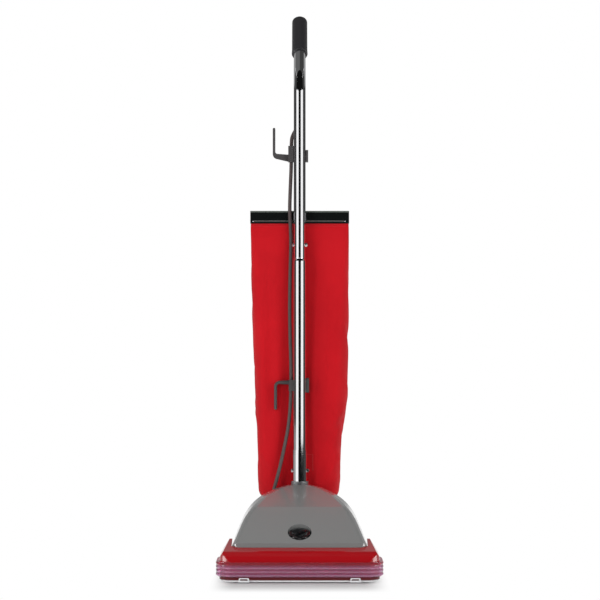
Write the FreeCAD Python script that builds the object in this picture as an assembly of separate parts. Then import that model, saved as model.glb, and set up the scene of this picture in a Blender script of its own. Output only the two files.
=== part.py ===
import FreeCAD, Part
import math
import os
from FreeCAD import Placement, Rotation, Vector

# Commercial upright vacuum cleaner, in millimetres.
# +Z is up, the nozzle points along -Y, the user stands on the +Y side and X runs across.
# The origin lies on the floor under the middle of the whole machine.

os.makedirs("parts", exist_ok=True)

# Clearances
running_gap = 0.05  # radial, between a shaft and its bore
seat_gap = 0.3  # between faces that lie near each other
swing_gap = 1.5  # beside a piece that swings

# Handle tubes and grip
upper_tube_radius = 13.0
lower_tube_radius = 14.3
tube_wall = 1.2
tube_joint_z = 670.0
neck_length = 65.0
bend_start_z = 1035.0
bend_radius = 80.0
grip_tilt = 47.0
grip_lead_in = 42.8
grip_length = 122.0
grip_radius = 17.0
grip_end_round = 3.0
grip_bore_depth = 100.0

# From the guard's front face back to the handle's tube
guard_depth = 7.5
nozzle_depth = 115.0
motor_behind_nozzle = 89.5
tube_behind_motor = 95.0
base_reach = guard_depth + nozzle_depth + motor_behind_nozzle + tube_behind_motor
tilt_sine = math.sin(math.radians(grip_tilt))
tilt_cosine = math.cos(math.radians(grip_tilt))
grip_reach = (
    bend_radius * (1 - tilt_cosine)
    + (grip_lead_in + grip_length - grip_end_round) * tilt_sine
    + (grip_radius - grip_end_round) * tilt_cosine
    + grip_end_round
)
tube_y = (base_reach - grip_reach) / 2
front_y = tube_y - base_reach
motor_y = tube_y - tube_behind_motor

# Nozzle and body housing
nozzle_front = front_y + guard_depth
nozzle_half = 165.0
nozzle_rear = nozzle_front + nozzle_depth
nozzle_corner = 28.0
nozzle_top_front = 58.6
nozzle_top_rear = 79.0
nozzle_brow = 26.0
nozzle_shoulder_half = nozzle_half - 22.0
nozzle_shoulder_z = 50.0
housing_bottom = 5.5
deck_z = 60.0
housing_wall = 4.0
body_half = 128.0
rear_half = 92.0
rear_end = tube_y + 50.0

# Brush roll and its chamber
brush_core = 17.0
bristle_reach = 28.0
brush_z = 29.0
chamber_radius = 31.0
chamber_half = nozzle_half - 15.0
chamber_wall = 5.0
end_cap_thick = 5.5
end_cap_gap = 1.5
brush_length = 2 * (chamber_half - end_cap_thick - end_cap_gap)
brush_y = nozzle_front + chamber_wall + chamber_radius
brush_shaft = 4.0
end_cap_stub = 4.9
end_cap_stub_radius = 9.0
plate_rear = brush_y + chamber_radius + 8.0
plate_low = 1.5
plate_thick = 2.0
plate_bar_x = 75.0
plate_bar_half = 2.0
latch_x = 85.0
latch_y = plate_rear + 4.0
latch_half = 7.0
latch_side = 3.5

# Height adjustment: everything on it lies square to one tilted axis
knob_tilt = 22.0
knob_y = brush_y + 41.5
knob_z = 95.0
knob_radius = 23.0
knob_height = 13.0
recess_radius = 24.8
lift_travel = 10.0
lift_turn = 150.0
drum_radius = 12.0
drum_top = -18.0
drum_low = -36.0
lift_ring = 5.0
lift_rib = 3.0
lift_gap = 0.5
follower_radius = 1.5

# Motor hood
hood_wall = 3.0
hood_front = knob_y - 31.0
hood_rear = motor_y + 73.0
hood_lip_lean = 2.5
hood_rear_lean = 4.5
hood_floor = 20.0
hood_half = 141.0
hood_rear_half = 134.0
hood_knee_half = 124.0
hood_knee_z = 103.5
hood_flank_half = 106.5
hood_flank_z = 132.4
hood_shoulder_half = 80.0
hood_shoulder_z = 155.0
hood_peak_z = 178.0
hood_lip_z = 76.0
hood_crease_y = motor_y - 59.5
hood_crease_z = 141.0
hood_brow_y = motor_y + 1.0
hood_brow_z = 163.0
hood_crown_y = motor_y + 51.0
hood_ridge = 16.0
hood_rear_round = 6.0
hood_lip_round = 3.0
wide_end = hood_rear + 1.5

# Motor, fan and belt
shaft_radius = 4.0
shaft_bottom = 8.5
shaft_top = 147.0
fan_radius = 56.0
fan_chamber = 62.0
fan_floor = 22.0
fan_room_z = 26.0
cover_z = 46.0
cover_thick = 4.0
cover_radius = 68.0
belt_radius = 2.5
belt_z = 16.0
drive_pitch = 8.0
brush_pitch = 16.0
groove_gap = 0.35
channel_half = 14.0

# Wheels
rear_wheel_radius = 36.0
rear_wheel_width = 22.0
rear_wheel_inner = rear_half + 6.0
rear_wheel_y = tube_y + 23.5
axle_radius = 4.0
front_wheel_radius = 16.0
front_wheel_width = 13.0
front_wheel_inner = 57.0
leg_thick = 6.0
leg_beside_wheel = 1.5
well_half = 9.0

# Handle pivot and release pedal
pivot_y = tube_y + 35.0
pivot_z = 70.0
pivot_radius = 5.0
boss_radius = 13.0
leg_inner = 48.0
leg_outer = 56.0
ear_thick = 11.0
bail_z = 150.0
bail_top = 168.0
socket_radius = 15.9
socket_top = 250.0
quadrant_radius = 20.0
pedal_y = tube_y + 12.0
pedal_z = 46.0

# Exhaust duct and bag
duct_radius = 21.0
duct_wall = 3.0
duct_bend = 24.0
duct_z = 37.0
duct_top = 106.0
flange_thick = 3.0
duct_y = rear_end + flange_thick + duct_bend
collar_z = 93.0
collar_height = 11.0
cloth = 2.0
bag_bottom_z = 200.0

# Clamp bar over the bag
bar_half = 108.5
bar_front = tube_y + 15.8
bar_depth = 14.0
bar_bottom = 746.0
bar_height = 23.0
bar_wall = 1.5
bar_lip = 4.7
bar_slot = 5.0

# Switch and supply-cord inlet
switch_z = 1016.5
inlet_z = 991.0

# Lead, its hole and clips
lead_radius = 4.0
lead_hole_z = 966.0
lead_back = 10.0
lower_clip_x = -18.9
gland_x = 13.0 - rear_half
gland_height = 18.0

# Cord hooks
hook_axis_y = tube_y + 18.7
hook_axis_z = 397.0

# Fasteners
screw_radius = 2.0
bolt_radius = 2.5
bolt_head = 4.6
socket_bolt_z = 205.0
tube_bolt_z = 699.0


def rounded_path(points, radii, closed=True):
    """A wire through the points, with a tangent arc of its own radius at each one."""
    corners = [Vector(*p) for p in points]
    last = len(corners) - 1
    turns = []
    for i, here in enumerate(corners):
        if radii[i] == 0 or (not closed and i in (0, last)):
            turns.append((here, here, None))
            continue
        before = (here - corners[i - 1]).normalize()
        after = (corners[(i + 1) % len(corners)] - here).normalize()
        half = before.getAngle(after) / 2
        if half < 1e-6:
            turns.append((here, here, None))
            continue
        back = radii[i] * math.tan(half)
        inward = (after - before).normalize()
        middle = here + inward * (radii[i] / math.cos(half) - radii[i])
        turns.append((here - before * back, here + after * back, middle))
    edges = []
    for i, (start, end, middle) in enumerate(turns):
        if middle is not None:
            edges.append(Part.Arc(start, middle, end).toShape())
        if i == last and not closed:
            break
        following = turns[(i + 1) % len(turns)][0]
        if (following - end).Length > 1e-6:
            edges.append(Part.LineSegment(end, following).toShape())
    return Part.Wire(edges)


def plan_slab(points, radii, low, high):
    """An outline in X and Y, raised from low to high."""
    wire = rounded_path([(x, y, low) for x, y in points], radii)
    return Part.Face(wire).extrude(Vector(0, 0, high - low))


def side_slab(points, radii, left, right):
    """An outline in Y and Z, drawn out along X."""
    wire = rounded_path([(left, y, z) for y, z in points], radii)
    return Part.Face(wire).extrude(Vector(right - left, 0, 0))


def front_slab(points, radii, near, far):
    """An outline in X and Z, drawn out along Y."""
    wire = rounded_path([(x, near, z) for x, z in points], radii)
    return Part.Face(wire).extrude(Vector(0, far - near, 0))


def box(x, y, z):
    """A box from three (low, high) pairs."""
    corner = Vector(x[0], y[0], z[0])
    return Part.makeBox(x[1] - x[0], y[1] - y[0], z[1] - z[0], corner)


def upright(radius, x, y, low, high):
    """A cylinder that stands along Z."""
    return Part.makeCylinder(radius, high - low, Vector(x, y, low))


def across(radius, y, z, left, right):
    """A cylinder that lies along X."""
    return Part.makeCylinder(radius, right - left, Vector(left, y, z), Vector(1, 0, 0))


def fore_aft(radius, x, z, near, far):
    """A cylinder that lies along Y."""
    return Part.makeCylinder(radius, far - near, Vector(x, near, z), Vector(0, 1, 0))


def joined(shapes):
    """One solid out of several that touch."""
    shape = shapes[0].fuse(shapes[1:]) if len(shapes) > 1 else shapes[0]
    return shape.removeSplitter()


def both_sides(shape):
    """The shape and its mirror image across the middle plane."""
    return [shape, shape.mirror(Vector(0, 0, 0), Vector(1, 0, 0))]


def turned(profile, base, axis):
    """A full turn of a closed wire about an axis."""
    return Part.Face(profile).revolve(base, axis, 360)


def rod_along(wire, radius):
    """A round rod whose centreline is the wire."""
    edge = wire.Edges[0]
    start = edge.valueAt(edge.FirstParameter)
    heading = edge.tangentAt(edge.FirstParameter)
    ring = Part.Wire(Part.Circle(start, heading, radius).toShape())
    return wire.makePipeShell([ring], True, False)


def in_knob_frame(shape):
    """Stands a shape that was drawn about +Z from the knob's top on the knob's tilted axis."""
    moved = shape.copy()
    moved.Placement = Placement(
        Vector(0, knob_y, knob_z), Rotation(Vector(1, 0, 0), knob_tilt)
    ).multiply(moved.Placement)
    return moved


def in_grip_frame(shape):
    """Stands a shape that was drawn about +Z on the grip's tilted axis, from the grip's rim."""
    start_y = tube_y + bend_radius * (1 - tilt_cosine) + grip_lead_in * tilt_sine
    start_z = bend_start_z + bend_radius * tilt_sine + grip_lead_in * tilt_cosine
    moved = shape.copy()
    moved.Placement = Placement(
        Vector(0, start_y, start_z), Rotation(Vector(1, 0, 0), -grip_tilt)
    ).multiply(moved.Placement)
    return moved


# Nozzle and body housing


def nozzle_outline(grow):
    """The nozzle's corners seen from above, moved outwards by grow."""
    near = nozzle_front - grow
    far = nozzle_rear + grow
    half = nozzle_half + grow
    return [(-half, near), (half, near), (half, far), (-half, far)]


def nozzle_form():
    """The outer form of the nozzle: its plan, its arched side view and its shouldered front view."""
    rear_corner = 20.0
    plan = plan_slab(
        nozzle_outline(0), [nozzle_corner, nozzle_corner, rear_corner, rear_corner], housing_bottom, 100
    )
    side = side_slab(
        [
            (nozzle_front, housing_bottom),
            (nozzle_front, nozzle_top_front),
            (nozzle_rear, nozzle_top_rear),
            (nozzle_rear, housing_bottom),
        ],
        [0, nozzle_brow, 5, 0],
        -nozzle_half,
        nozzle_half,
    )
    roof = 84.0
    front = front_slab(
        [
            (-nozzle_half, housing_bottom),
            (-nozzle_half, nozzle_shoulder_z),
            (-nozzle_shoulder_half, roof),
            (nozzle_shoulder_half, roof),
            (nozzle_half, nozzle_shoulder_z),
            (nozzle_half, housing_bottom),
        ],
        [0, 16, 4, 4, 16, 0],
        nozzle_front,
        nozzle_rear,
    )
    return plan.common(side).common(front)


def hood_plan(grow, low, high):
    """The hood's outline seen from above, moved outwards by grow."""
    front_corner = 18.0
    rear_corner = 38.0
    near = hood_front - grow
    far = hood_rear + grow
    half = hood_half + grow
    rear = hood_rear_half + grow
    points = [(-half, near), (half, near), (rear, far), (-rear, far)]
    radii = [front_corner + grow, front_corner + grow, rear_corner + grow, rear_corner + grow]
    return plan_slab(points, radii, low, high)


def front_wheel_drop():
    """How far the front wheels' centres lie down the tilted axis from the knob's top."""
    return (knob_z - front_wheel_radius) / math.cos(math.radians(knob_tilt))


def lift_slots():
    """Room in the housing for the crossbar, the legs and the front wheels of the wheel carriage."""
    floor = drum_top - 1 - lift_ring - lift_rib - lift_travel - lift_gap
    near = front_wheel_inner - well_half
    far_below = -front_wheel_drop() - front_wheel_radius - 10
    bar_end = front_wheel_inner + 7
    bar = box((-bar_end, bar_end), (-10, 10), (floor, -10))
    ring = upright(drum_radius + 6, 0, 0, floor, -10)
    step = upright(4 + running_gap, 0, 0, drum_low - 7, floor + 1)
    leg = box((near, front_wheel_inner), (-7, 7), (far_below, floor + 5))
    reach = front_wheel_radius + 3
    well = box(
        (near, front_wheel_inner + front_wheel_width + 3),
        (-reach, reach),
        (far_below, reach - front_wheel_drop()),
    )
    return [in_knob_frame(s) for s in [bar, ring, step] + both_sides(leg) + both_sides(well)]


def side_cells():
    """Hollows under the body's flanks, three on each side with ribs between them."""
    cells = []
    rib = 4.0
    start = nozzle_rear + 8
    pitch = (wide_end - housing_wall - start + rib) / 3
    for i in range(3):
        near = start + i * pitch
        x = (cover_radius + 8, body_half - housing_wall)
        cell = plan_slab(
            [(x[0], near), (x[1], near), (x[1], near + pitch - rib), (x[0], near + pitch - rib)],
            [4, 4, 4, 4],
            housing_bottom,
            deck_z - housing_wall,
        )
        cells += both_sides(cell)
    return cells


def base_housing():
    """Nozzle and body in one moulding, with the chambers that the bottom plate closes."""
    body = plan_slab(
        [
            (-body_half, nozzle_rear - 10),
            (body_half, nozzle_rear - 10),
            (body_half, wide_end),
            (rear_half, wide_end),
            (rear_half, rear_end),
            (-rear_half, rear_end),
            (-rear_half, wide_end),
            (-body_half, wide_end),
        ],
        [0, 0, 14, 0, 12, 12, 0, 14],
        housing_bottom,
        deck_z,
    )
    ear_inner = leg_outer + 1
    ear_outer = ear_inner + ear_thick
    ear_foot = box((ear_inner, ear_outer), (pivot_y - 15, rear_end), (deck_z - 5, pivot_z))
    ear = ear_foot.fuse(across(15, pivot_y, pivot_z, ear_inner, ear_outer))
    hub = across(9, rear_wheel_y, rear_wheel_radius, rear_half - 5, rear_wheel_inner - 1)
    post = upright(7, 95, hood_rear - hood_wall - 8, deck_z - 2, 84)
    solid = joined([nozzle_form(), body] + both_sides(ear) + both_sides(hub) + both_sides(post))
    cuts = [hood_plan(seat_gap, deck_z, 100).cut(hood_plan(-14, deck_z - 1, 101))]
    front_room = box((-hood_half, hood_half), (hood_front + 10, nozzle_rear + 1), (deck_z, 100))
    cuts.append(front_room)
    # brush chamber and its mouth
    cuts.append(across(chamber_radius, brush_y, brush_z, -chamber_half, chamber_half))
    mouth_y = (brush_y - chamber_radius, brush_y + chamber_radius)
    cuts.append(box((-chamber_half, chamber_half), mouth_y, (0, brush_z)))
    # sloping belt channel, from the drive pulley up to the brush pulley's top
    cuts.append(
        side_slab(
            [
                (motor_y + 17, 0),
                (motor_y + 17, fan_floor),
                (motor_y - 12, fan_floor),
                (brush_y + 20, brush_z + brush_pitch + 5),
                (brush_y + 20, 0),
            ],
            [0, 0, 0, 0, 0],
            -channel_half,
            channel_half,
        )
    )
    # air way beside the belt, into the fan's eye
    air_side = front_wheel_inner - well_half - 2
    cuts.append(box((channel_half + 3, air_side), (brush_y + 25, motor_y + 18), (0, fan_floor)))
    cuts.append(upright(22, 0, motor_y, fan_floor - 1, fan_room_z + 1))
    cuts.append(upright(fan_chamber, 0, motor_y, fan_room_z, deck_z + 1))
    cuts.append(upright(cover_radius + seat_gap, 0, motor_y, cover_z, 101))
    cuts.append(fore_aft(duct_radius - duct_wall, 0, duct_z, motor_y + 40, rear_end + 1))
    cuts += lift_slots()
    cuts += side_cells()
    # pivot pins, stub axles and the room for the bail's bosses
    cuts.append(across(pivot_radius, pivot_y, pivot_z, -100, 100))
    for shape in both_sides(across(axle_radius, rear_wheel_y, rear_wheel_radius, rear_half - 24, 100)):
        cuts.append(shape)
    relief = across(boss_radius + swing_gap, pivot_y, pivot_z, leg_inner - 1, leg_outer + 1)
    relief_tail = box(
        (leg_inner - 1, leg_outer + 1),
        (pivot_y, rear_end + 1),
        (pivot_z - boss_radius - swing_gap, pivot_z + 20),
    )
    cuts += both_sides(relief) + both_sides(relief_tail)
    # pocket of the release pedal and its pin's bore
    cuts.append(box((-50, -29), (pedal_y - 9, rear_end + 1), (34, deck_z + 1)))
    cuts.append(across(2.5, pedal_y, pedal_z, -57, -22))
    # seats of the screws and of the lead's gland
    for x, y in cover_screw_places():
        cuts.append(upright(screw_radius, x, y, cover_z - 12, cover_z + 1))
    for x in (-95, 95):
        cuts.append(fore_aft(screw_radius, x, 76, hood_rear - 20, hood_rear))
    for x, z in duct_screw_places():
        cuts.append(fore_aft(screw_radius, x, z, rear_end - 14, rear_end + 1))
    cuts.append(upright(5.5, gland_x, tube_y, deck_z - 14, deck_z + 1))
    # sockets of the brush roll's end caps
    stub_end = chamber_half + end_cap_stub + 0.1
    for shape in both_sides(across(end_cap_stub_radius, brush_y, brush_z, chamber_half - 1, stub_end)):
        cuts.append(shape)
    for shape in both_sides(upright(2, latch_x, latch_y, 0, 18)):
        cuts.append(shape)
    return solid.cut(cuts)


def furniture_guard():
    """Clear band round the nozzle's front and ends, with four rounded ribs along it."""
    low = 12.0
    high = 42.0
    band = guard_depth - 3.0
    rib = 2.6
    corner = nozzle_corner
    far = nozzle_rear - 22

    def outline(grow):
        near = nozzle_front - grow
        half = nozzle_half + grow
        return [(-half, far), (-half, near), (half, near), (half, far)]

    outer = plan_slab(outline(band), [1.5, corner + band, corner + band, 1.5], low, high)
    inner = plan_slab(outline(seat_gap / 3), [0, corner, corner, 0], low - 1, high + 1)
    back = box((-nozzle_half, nozzle_half), (nozzle_front + 40, far + 1), (low - 1, high + 1))
    shapes = [outer.cut([inner, back])]
    for i in range(4):
        z = low + rib + 1 + i * (high - low - 2 * rib - 2) / 3
        half = nozzle_half + guard_depth - rib
        near = nozzle_front - guard_depth + rib
        round_corner = corner + guard_depth - rib
        route = rounded_path(
            [(-half, far - 2, z), (-half, near, z), (half, near, z), (half, far - 2, z)],
            [0, round_corner, round_corner, 0],
            closed=False,
        )
        shapes.append(rod_along(route, rib).cut(inner))
    return joined(shapes)


def bottom_plate():
    """Pressed plate under the nozzle: four windows, a tongue under the belt and two front tabs."""
    low = plate_low
    thick = plate_thick
    inset = 3.0
    half = nozzle_half - inset
    near = nozzle_front + inset
    far = plate_rear
    tongue = (-channel_half - 4, front_wheel_inner - well_half)
    outline = [
        (-half, near),
        (half, near),
        (half, far),
        (tongue[1], far),
        (tongue[1], motor_y + 24),
        (tongue[0], motor_y + 24),
        (tongue[0], far),
        (-half, far),
    ]
    corner = nozzle_corner - inset
    radii = [corner, corner, 6, 5, 20, 12, 5, 6]
    plate = plan_slab(outline, radii, low, low + thick)
    rim = plan_slab(outline, radii, low, housing_bottom)
    inner = plan_slab(
        [(x * (half - 2.5) / half, y) for x, y in nozzle_outline(-inset - 2.5)],
        [corner - 2.5, corner - 2.5, 6, 6],
        low + thick,
        housing_bottom + 1,
    )
    rim = rim.cut([inner, box((-half, half), (far - 8, far + 200), (low + thick, 20))])
    solid = plate.fuse(rim)
    window = (brush_y - 26, brush_y + 24)
    cuts = []
    spans = [
        (channel_half + 2, plate_bar_x - plate_bar_half),
        (plate_bar_x + plate_bar_half, chamber_half - 4),
    ]
    for left, right in spans:
        shape = plan_slab(
            [(left, window[0]), (right, window[0]), (right, window[1]), (left, window[1])],
            [5, 5, 5, 5],
            low - 1,
            low + thick + 1,
        )
        cuts += both_sides(shape)
    # the latches' fingers lie in shallow pockets, so nothing stands below the plate
    seat = box((latch_x - 8.5, latch_x + 8.5), (far - 4, far + 1), (low - 1, low + thick / 2))
    cuts += both_sides(seat)
    solid = solid.cut(cuts)
    tab_x = 114.0
    tab = front_slab(
        [(tab_x - 11.5, low), (tab_x - 10, 10), (tab_x + 10, 10), (tab_x + 11.5, low)],
        [0, 2.5, 2.5, 0],
        nozzle_front - 2.5,
        nozzle_front - 0.3,
    )
    hole = front_slab(
        [(tab_x - 8, low + 3), (tab_x - 7.5, 8), (tab_x + 7.5, 8), (tab_x + 8, low + 3)],
        [1, 1, 1, 1],
        nozzle_front - 3,
        nozzle_front,
    )
    foot = box((tab_x - 11.5, tab_x + 11.5), (nozzle_front - 2.5, near + 2), (low, low + thick))
    tab = tab.cut(hole).fuse(foot)
    return joined([solid] + both_sides(tab))


def plate_latch(side):
    """Turn button behind the plate, whose finger holds the plate's edge until it is turned aside."""
    x = side * latch_x
    y = latch_y
    top = plate_low + plate_thick / 2 - seat_gap
    stem = upright(2 - running_gap, x, y, top - 0.9, 16)
    finger = plan_slab(
        [
            (x - latch_side, y - latch_half),
            (x + latch_side, y - latch_half),
            (x + latch_side, y + latch_half),
            (x - latch_side, y + latch_half),
        ],
        [3, 3, 3, 3],
        top - 0.9,
        top,
    )
    return joined([stem, finger])


# Hood


def hood_block(inset):
    """The hood's outer form: front view, side view and plan, each moved inwards by inset."""
    floor = hood_floor
    slope = (hood_half - hood_knee_half) / (hood_knee_z - deck_z - 6)
    foot = hood_half + slope * (deck_z + 6 - floor)

    def at(x, z):
        return Vector(x, -400, z)

    front = Part.Wire(
        [
            Part.LineSegment(at(-foot, floor), at(-hood_knee_half, hood_knee_z)).toShape(),
            Part.Arc(
                at(-hood_knee_half, hood_knee_z),
                at(-hood_flank_half, hood_flank_z),
                at(-hood_shoulder_half, hood_shoulder_z),
            ).toShape(),
            Part.Arc(
                at(-hood_shoulder_half, hood_shoulder_z),
                at(0, hood_peak_z),
                at(hood_shoulder_half, hood_shoulder_z),
            ).toShape(),
            Part.Arc(
                at(hood_shoulder_half, hood_shoulder_z),
                at(hood_flank_half, hood_flank_z),
                at(hood_knee_half, hood_knee_z),
            ).toShape(),
            Part.LineSegment(at(hood_knee_half, hood_knee_z), at(foot, floor)).toShape(),
            Part.LineSegment(at(foot, floor), at(-foot, floor)).toShape(),
        ]
    )

    def beside(y, z):
        return Vector(-300, y, z)

    top = hood_peak_z - 1
    side = Part.Wire(
        [
            Part.LineSegment(
                beside(hood_front, floor), beside(hood_front + hood_lip_lean, hood_lip_z)
            ).toShape(),
            Part.LineSegment(
                beside(hood_front + hood_lip_lean, hood_lip_z), beside(hood_crease_y, hood_crease_z)
            ).toShape(),
            Part.Arc(
                beside(hood_crease_y, hood_crease_z),
                beside(hood_brow_y, hood_brow_z),
                beside(hood_crown_y, top),
            ).toShape(),
            Part.LineSegment(beside(hood_crown_y, top), beside(hood_rear - hood_rear_lean, top)).toShape(),
            Part.LineSegment(beside(hood_rear - hood_rear_lean, top), beside(hood_rear, floor)).toShape(),
            Part.LineSegment(beside(hood_rear, floor), beside(hood_front, floor)).toShape(),
        ]
    )
    if inset:
        front = front.makeOffset2D(-inset)
        side = side.makeOffset2D(-inset)
    front_solid = Part.Face(front).extrude(Vector(0, 800, 0))
    side_solid = Part.Face(side).extrude(Vector(600, 0, 0))
    plan_solid = hood_plan(-inset, floor, 300)
    return front_solid.common(side_solid).common(plan_solid)


def ridges_of(block):
    """The long edges where the hood's sloping front and top meet its flanks."""
    found = []
    for edge in block.Edges:
        c = edge.CenterOfMass
        ends = [v.Point for v in edge.Vertexes]
        if len(ends) < 2 or c.z < deck_z + 20 or abs(c.x) < 10:
            continue
        run = abs(ends[0].y - ends[1].y)
        rise = abs(ends[0].x - ends[1].x)
        on_top = c.z > hood_peak_z - 16 and run > 15
        if (run > 15 and rise > 8 and c.y < hood_crown_y) or on_top:
            found.append(edge)
    return found


def edges_across(block, near, far, lowest):
    """The hood's edges whose middle lies between two Y positions, above a given height."""
    return [e for e in block.Edges if near < e.CenterOfMass.y < far and e.CenterOfMass.z > lowest]


def motor_hood():
    """Thin moulded hood: rounded ridges down its front, and a round recess for the height knob."""
    outer = hood_block(0).Solids[0]
    outer = outer.makeFillet(hood_ridge, ridges_of(outer))
    rear_top = edges_across(outer, hood_rear - hood_rear_lean - 0.5, hood_rear - 2, hood_knee_z + 16)
    outer = outer.makeFillet(hood_rear_round, rear_top)
    lip = edges_across(outer, hood_front + 1, hood_front + hood_lip_lean + 1.5, hood_lip_z - 6)
    outer = outer.makeFillet(hood_lip_round, lip)
    inner = hood_block(hood_wall)
    floor_top = -knob_height - 1.5
    well = in_knob_frame(Part.makeCylinder(recess_radius, 80, Vector(0, 0, floor_top)))
    cup = in_knob_frame(
        Part.makeCylinder(recess_radius + hood_wall, 40, Vector(0, 0, floor_top - hood_wall))
    )
    shell = outer.cut(inner).fuse(outer.common(cup)).cut(well)
    shaft_hole = in_knob_frame(Part.makeCylinder(7, 30, Vector(0, 0, floor_top - 20)))
    cuts = [shaft_hole, box((-300, 300), (-400, 400), (0, deck_z))]
    for x in (-95, 95):
        cuts.append(fore_aft(screw_radius + 0.2, x, 76, hood_rear - 20, hood_rear + 5))
    return shell.cut(cuts).removeSplitter()


def pan_screw(x, z, face):
    """A pan-head screw driven forwards into a face that looks to the rear."""
    head = fore_aft(4, x, z, face, face + 2.4)
    return joined([fore_aft(screw_radius, x, z, face - 16, face), head])


def duct_screw_places():
    """The four corners of the exhaust duct's flange."""
    return [(x, duct_z + z) for x in (-22.5, 22.5) for z in (-17.5, 17.5)]


def housing_screws():
    """Six like screws: two through the hood's rear wall, four through the duct's flange."""
    screws = [pan_screw(x, 76, hood_rear) for x in (-95, 95)]
    screws += [pan_screw(x, z, rear_end + flange_thick) for x, z in duct_screw_places()]
    return Part.makeCompound(screws)


# Brush roll and belt


def grooved_pulley(pitch):
    """A pulley about +Z whose groove opens outwards, so that a belt can leave it aslant."""
    rim = pitch + 2.5
    half = 7.4
    root_half = 2.4
    root = pitch - belt_radius - groove_gap
    profile = rounded_path(
        [
            (0, 0, -half),
            (rim, 0, -half),
            (rim, 0, -half + 0.6),
            (root, 0, -root_half),
            (root, 0, root_half),
            (rim, 0, half - 0.6),
            (rim, 0, half),
            (0, 0, half),
        ],
        [0] * 8,
    )
    return turned(profile, Vector(0, 0, 0), Vector(0, 0, 1))


def brush_roll():
    """Turned roll with its shaft ends and the belt's groove in the middle."""
    half = brush_length / 2
    core = across(brush_core, brush_y, brush_z, -half, half)
    core = core.cut(across(brush_core + 5, brush_y, brush_z, -9, 9))
    pulley = grooved_pulley(brush_pitch)
    pulley.Placement = Placement(Vector(0, brush_y, brush_z), Rotation(Vector(0, 1, 0), 90))
    shaft = across(brush_shaft, brush_y, brush_z, -half - 9, half + 9)
    hub = across(9, brush_y, brush_z, -10, 10)
    return joined([core, pulley, hub, shaft])


def bristle_tuft(x, angle):
    """One tuft: it stands on the roll's surface and spreads a little towards its tips."""
    out = Vector(0, math.cos(angle), math.sin(angle))
    side = Vector(0, -math.sin(angle), math.cos(angle))
    rings = []
    for reach, half in ((brush_core, 1.7), (bristle_reach, 2.6)):
        middle = Vector(x, brush_y, brush_z) + out * reach
        corners = [(-half, -half), (half, -half), (half, half), (-half, half), (-half, -half)]
        rings.append(Part.makePolygon([middle + Vector(u, 0, 0) + side * v for u, v in corners]))
    return Part.makeLoft(rings, True, True)


def brush_bristles():
    """Two spiral rows of tufts, which leave room at the belt and over the plate's crossbars."""
    tufts = []
    pitch = 10.0
    count = int(brush_length / 2 / pitch)
    for row in range(2):
        for i in range(-count + 1, count):
            x = i * pitch + (pitch / 2 if row else 0)
            if abs(x) < channel_half + 2 or abs(abs(x) - plate_bar_x) < plate_bar_half + 4:
                continue
            angle = math.radians(40 + 180 * row + x * 0.22)
            tufts.append(bristle_tuft(x, angle))
    return Part.makeCompound(tufts)


def brush_end_caps():
    """Bearing blocks that seat in the chamber's end walls and carry the roll's shaft."""
    caps = []
    half = brush_length / 2
    cap = joined(
        [
            across(22, brush_y, brush_z, half + end_cap_gap, chamber_half),
            across(
                end_cap_stub_radius - running_gap, brush_y, brush_z, chamber_half, chamber_half + end_cap_stub
            ),
        ]
    )
    cap = cap.cut(across(brush_shaft + running_gap, brush_y, brush_z, half, half + 9.5))
    caps += both_sides(cap)
    return Part.makeCompound(caps)


def wrap_corners(start, sweep, pitch):
    """Three corners whose tangent arcs run round a pulley, as offsets from its centre."""
    step = sweep / 3
    reach = pitch / math.cos(step / 2)
    turns = [start + step * (i + 0.5) for i in range(3)]
    return [(reach * math.cos(a), reach * math.sin(a)) for a in turns]


def drive_belt():
    """Round belt with a quarter turn: level round the drive pulley, upright round the brush pulley."""
    run_y = motor_y - brush_y
    lean = math.atan2(belt_z - brush_z, run_y)
    brush_side = math.acos(brush_pitch / math.hypot(run_y, belt_z - brush_z))
    drive_side = math.acos(drive_pitch / run_y)
    brush_wrap = wrap_corners(lean - brush_side, 2 * brush_side - 2 * math.pi, brush_pitch)
    drive_wrap = wrap_corners(drive_side - math.pi / 2, 2 * math.pi - 2 * drive_side, drive_pitch)
    round_brush = [Vector(0, brush_y + u, brush_z + v) for u, v in brush_wrap]
    round_drive = [Vector(u, motor_y + v, belt_z) for u, v in drive_wrap]
    top_run = (round_brush[-1] + round_drive[0]) / 2
    low_run = (round_drive[-1] + round_brush[0]) / 2
    halves = [
        ([low_run] + round_brush + [top_run], brush_pitch),
        ([top_run] + round_drive + [low_run], drive_pitch),
    ]
    rods = []
    for points, pitch in halves:
        wire = rounded_path(points, [0, pitch, pitch, pitch, 0], closed=False)
        rods.append(rod_along(wire, belt_radius))
    return joined(rods)


# Motor and fan


def cover_screw_places():
    """Four places on the ledge round the fan chamber."""
    places = []
    for i in range(4):
        a = math.radians(45 + 90 * i)
        ring = (fan_chamber + cover_radius) / 2
        places.append((ring * math.cos(a), motor_y + ring * math.sin(a)))
    return places


def fan_cover():
    """Plate that closes the fan chamber, carries the motor and holds its lower bearing."""
    plate = upright(cover_radius, 0, motor_y, cover_z, cover_z + cover_thick)
    boss = upright(16, 0, motor_y, cover_z, cover_z + 14)
    rim = upright(53, 0, motor_y, cover_z, cover_z + 7).cut(upright(50.2, 0, motor_y, cover_z, cover_z + 8))
    solid = joined([plate, boss, rim])
    cuts = [upright(11, 0, motor_y, cover_z + 6, cover_z + 15), upright(6, 0, motor_y, 0, 100)]
    for x, y in cover_screw_places():
        cuts.append(upright(screw_radius + 0.2, x, y, 0, 100))
    return solid.cut(cuts)


def cover_screws():
    """Four screws through the fan cover into the ledge."""
    screws = []
    top = cover_z + cover_thick
    for x, y in cover_screw_places():
        screws.append(joined([upright(screw_radius, x, y, cover_z - 10, top), upright(2.6, x, y, top, top + 2.4)]))
    return Part.makeCompound(screws)


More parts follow.
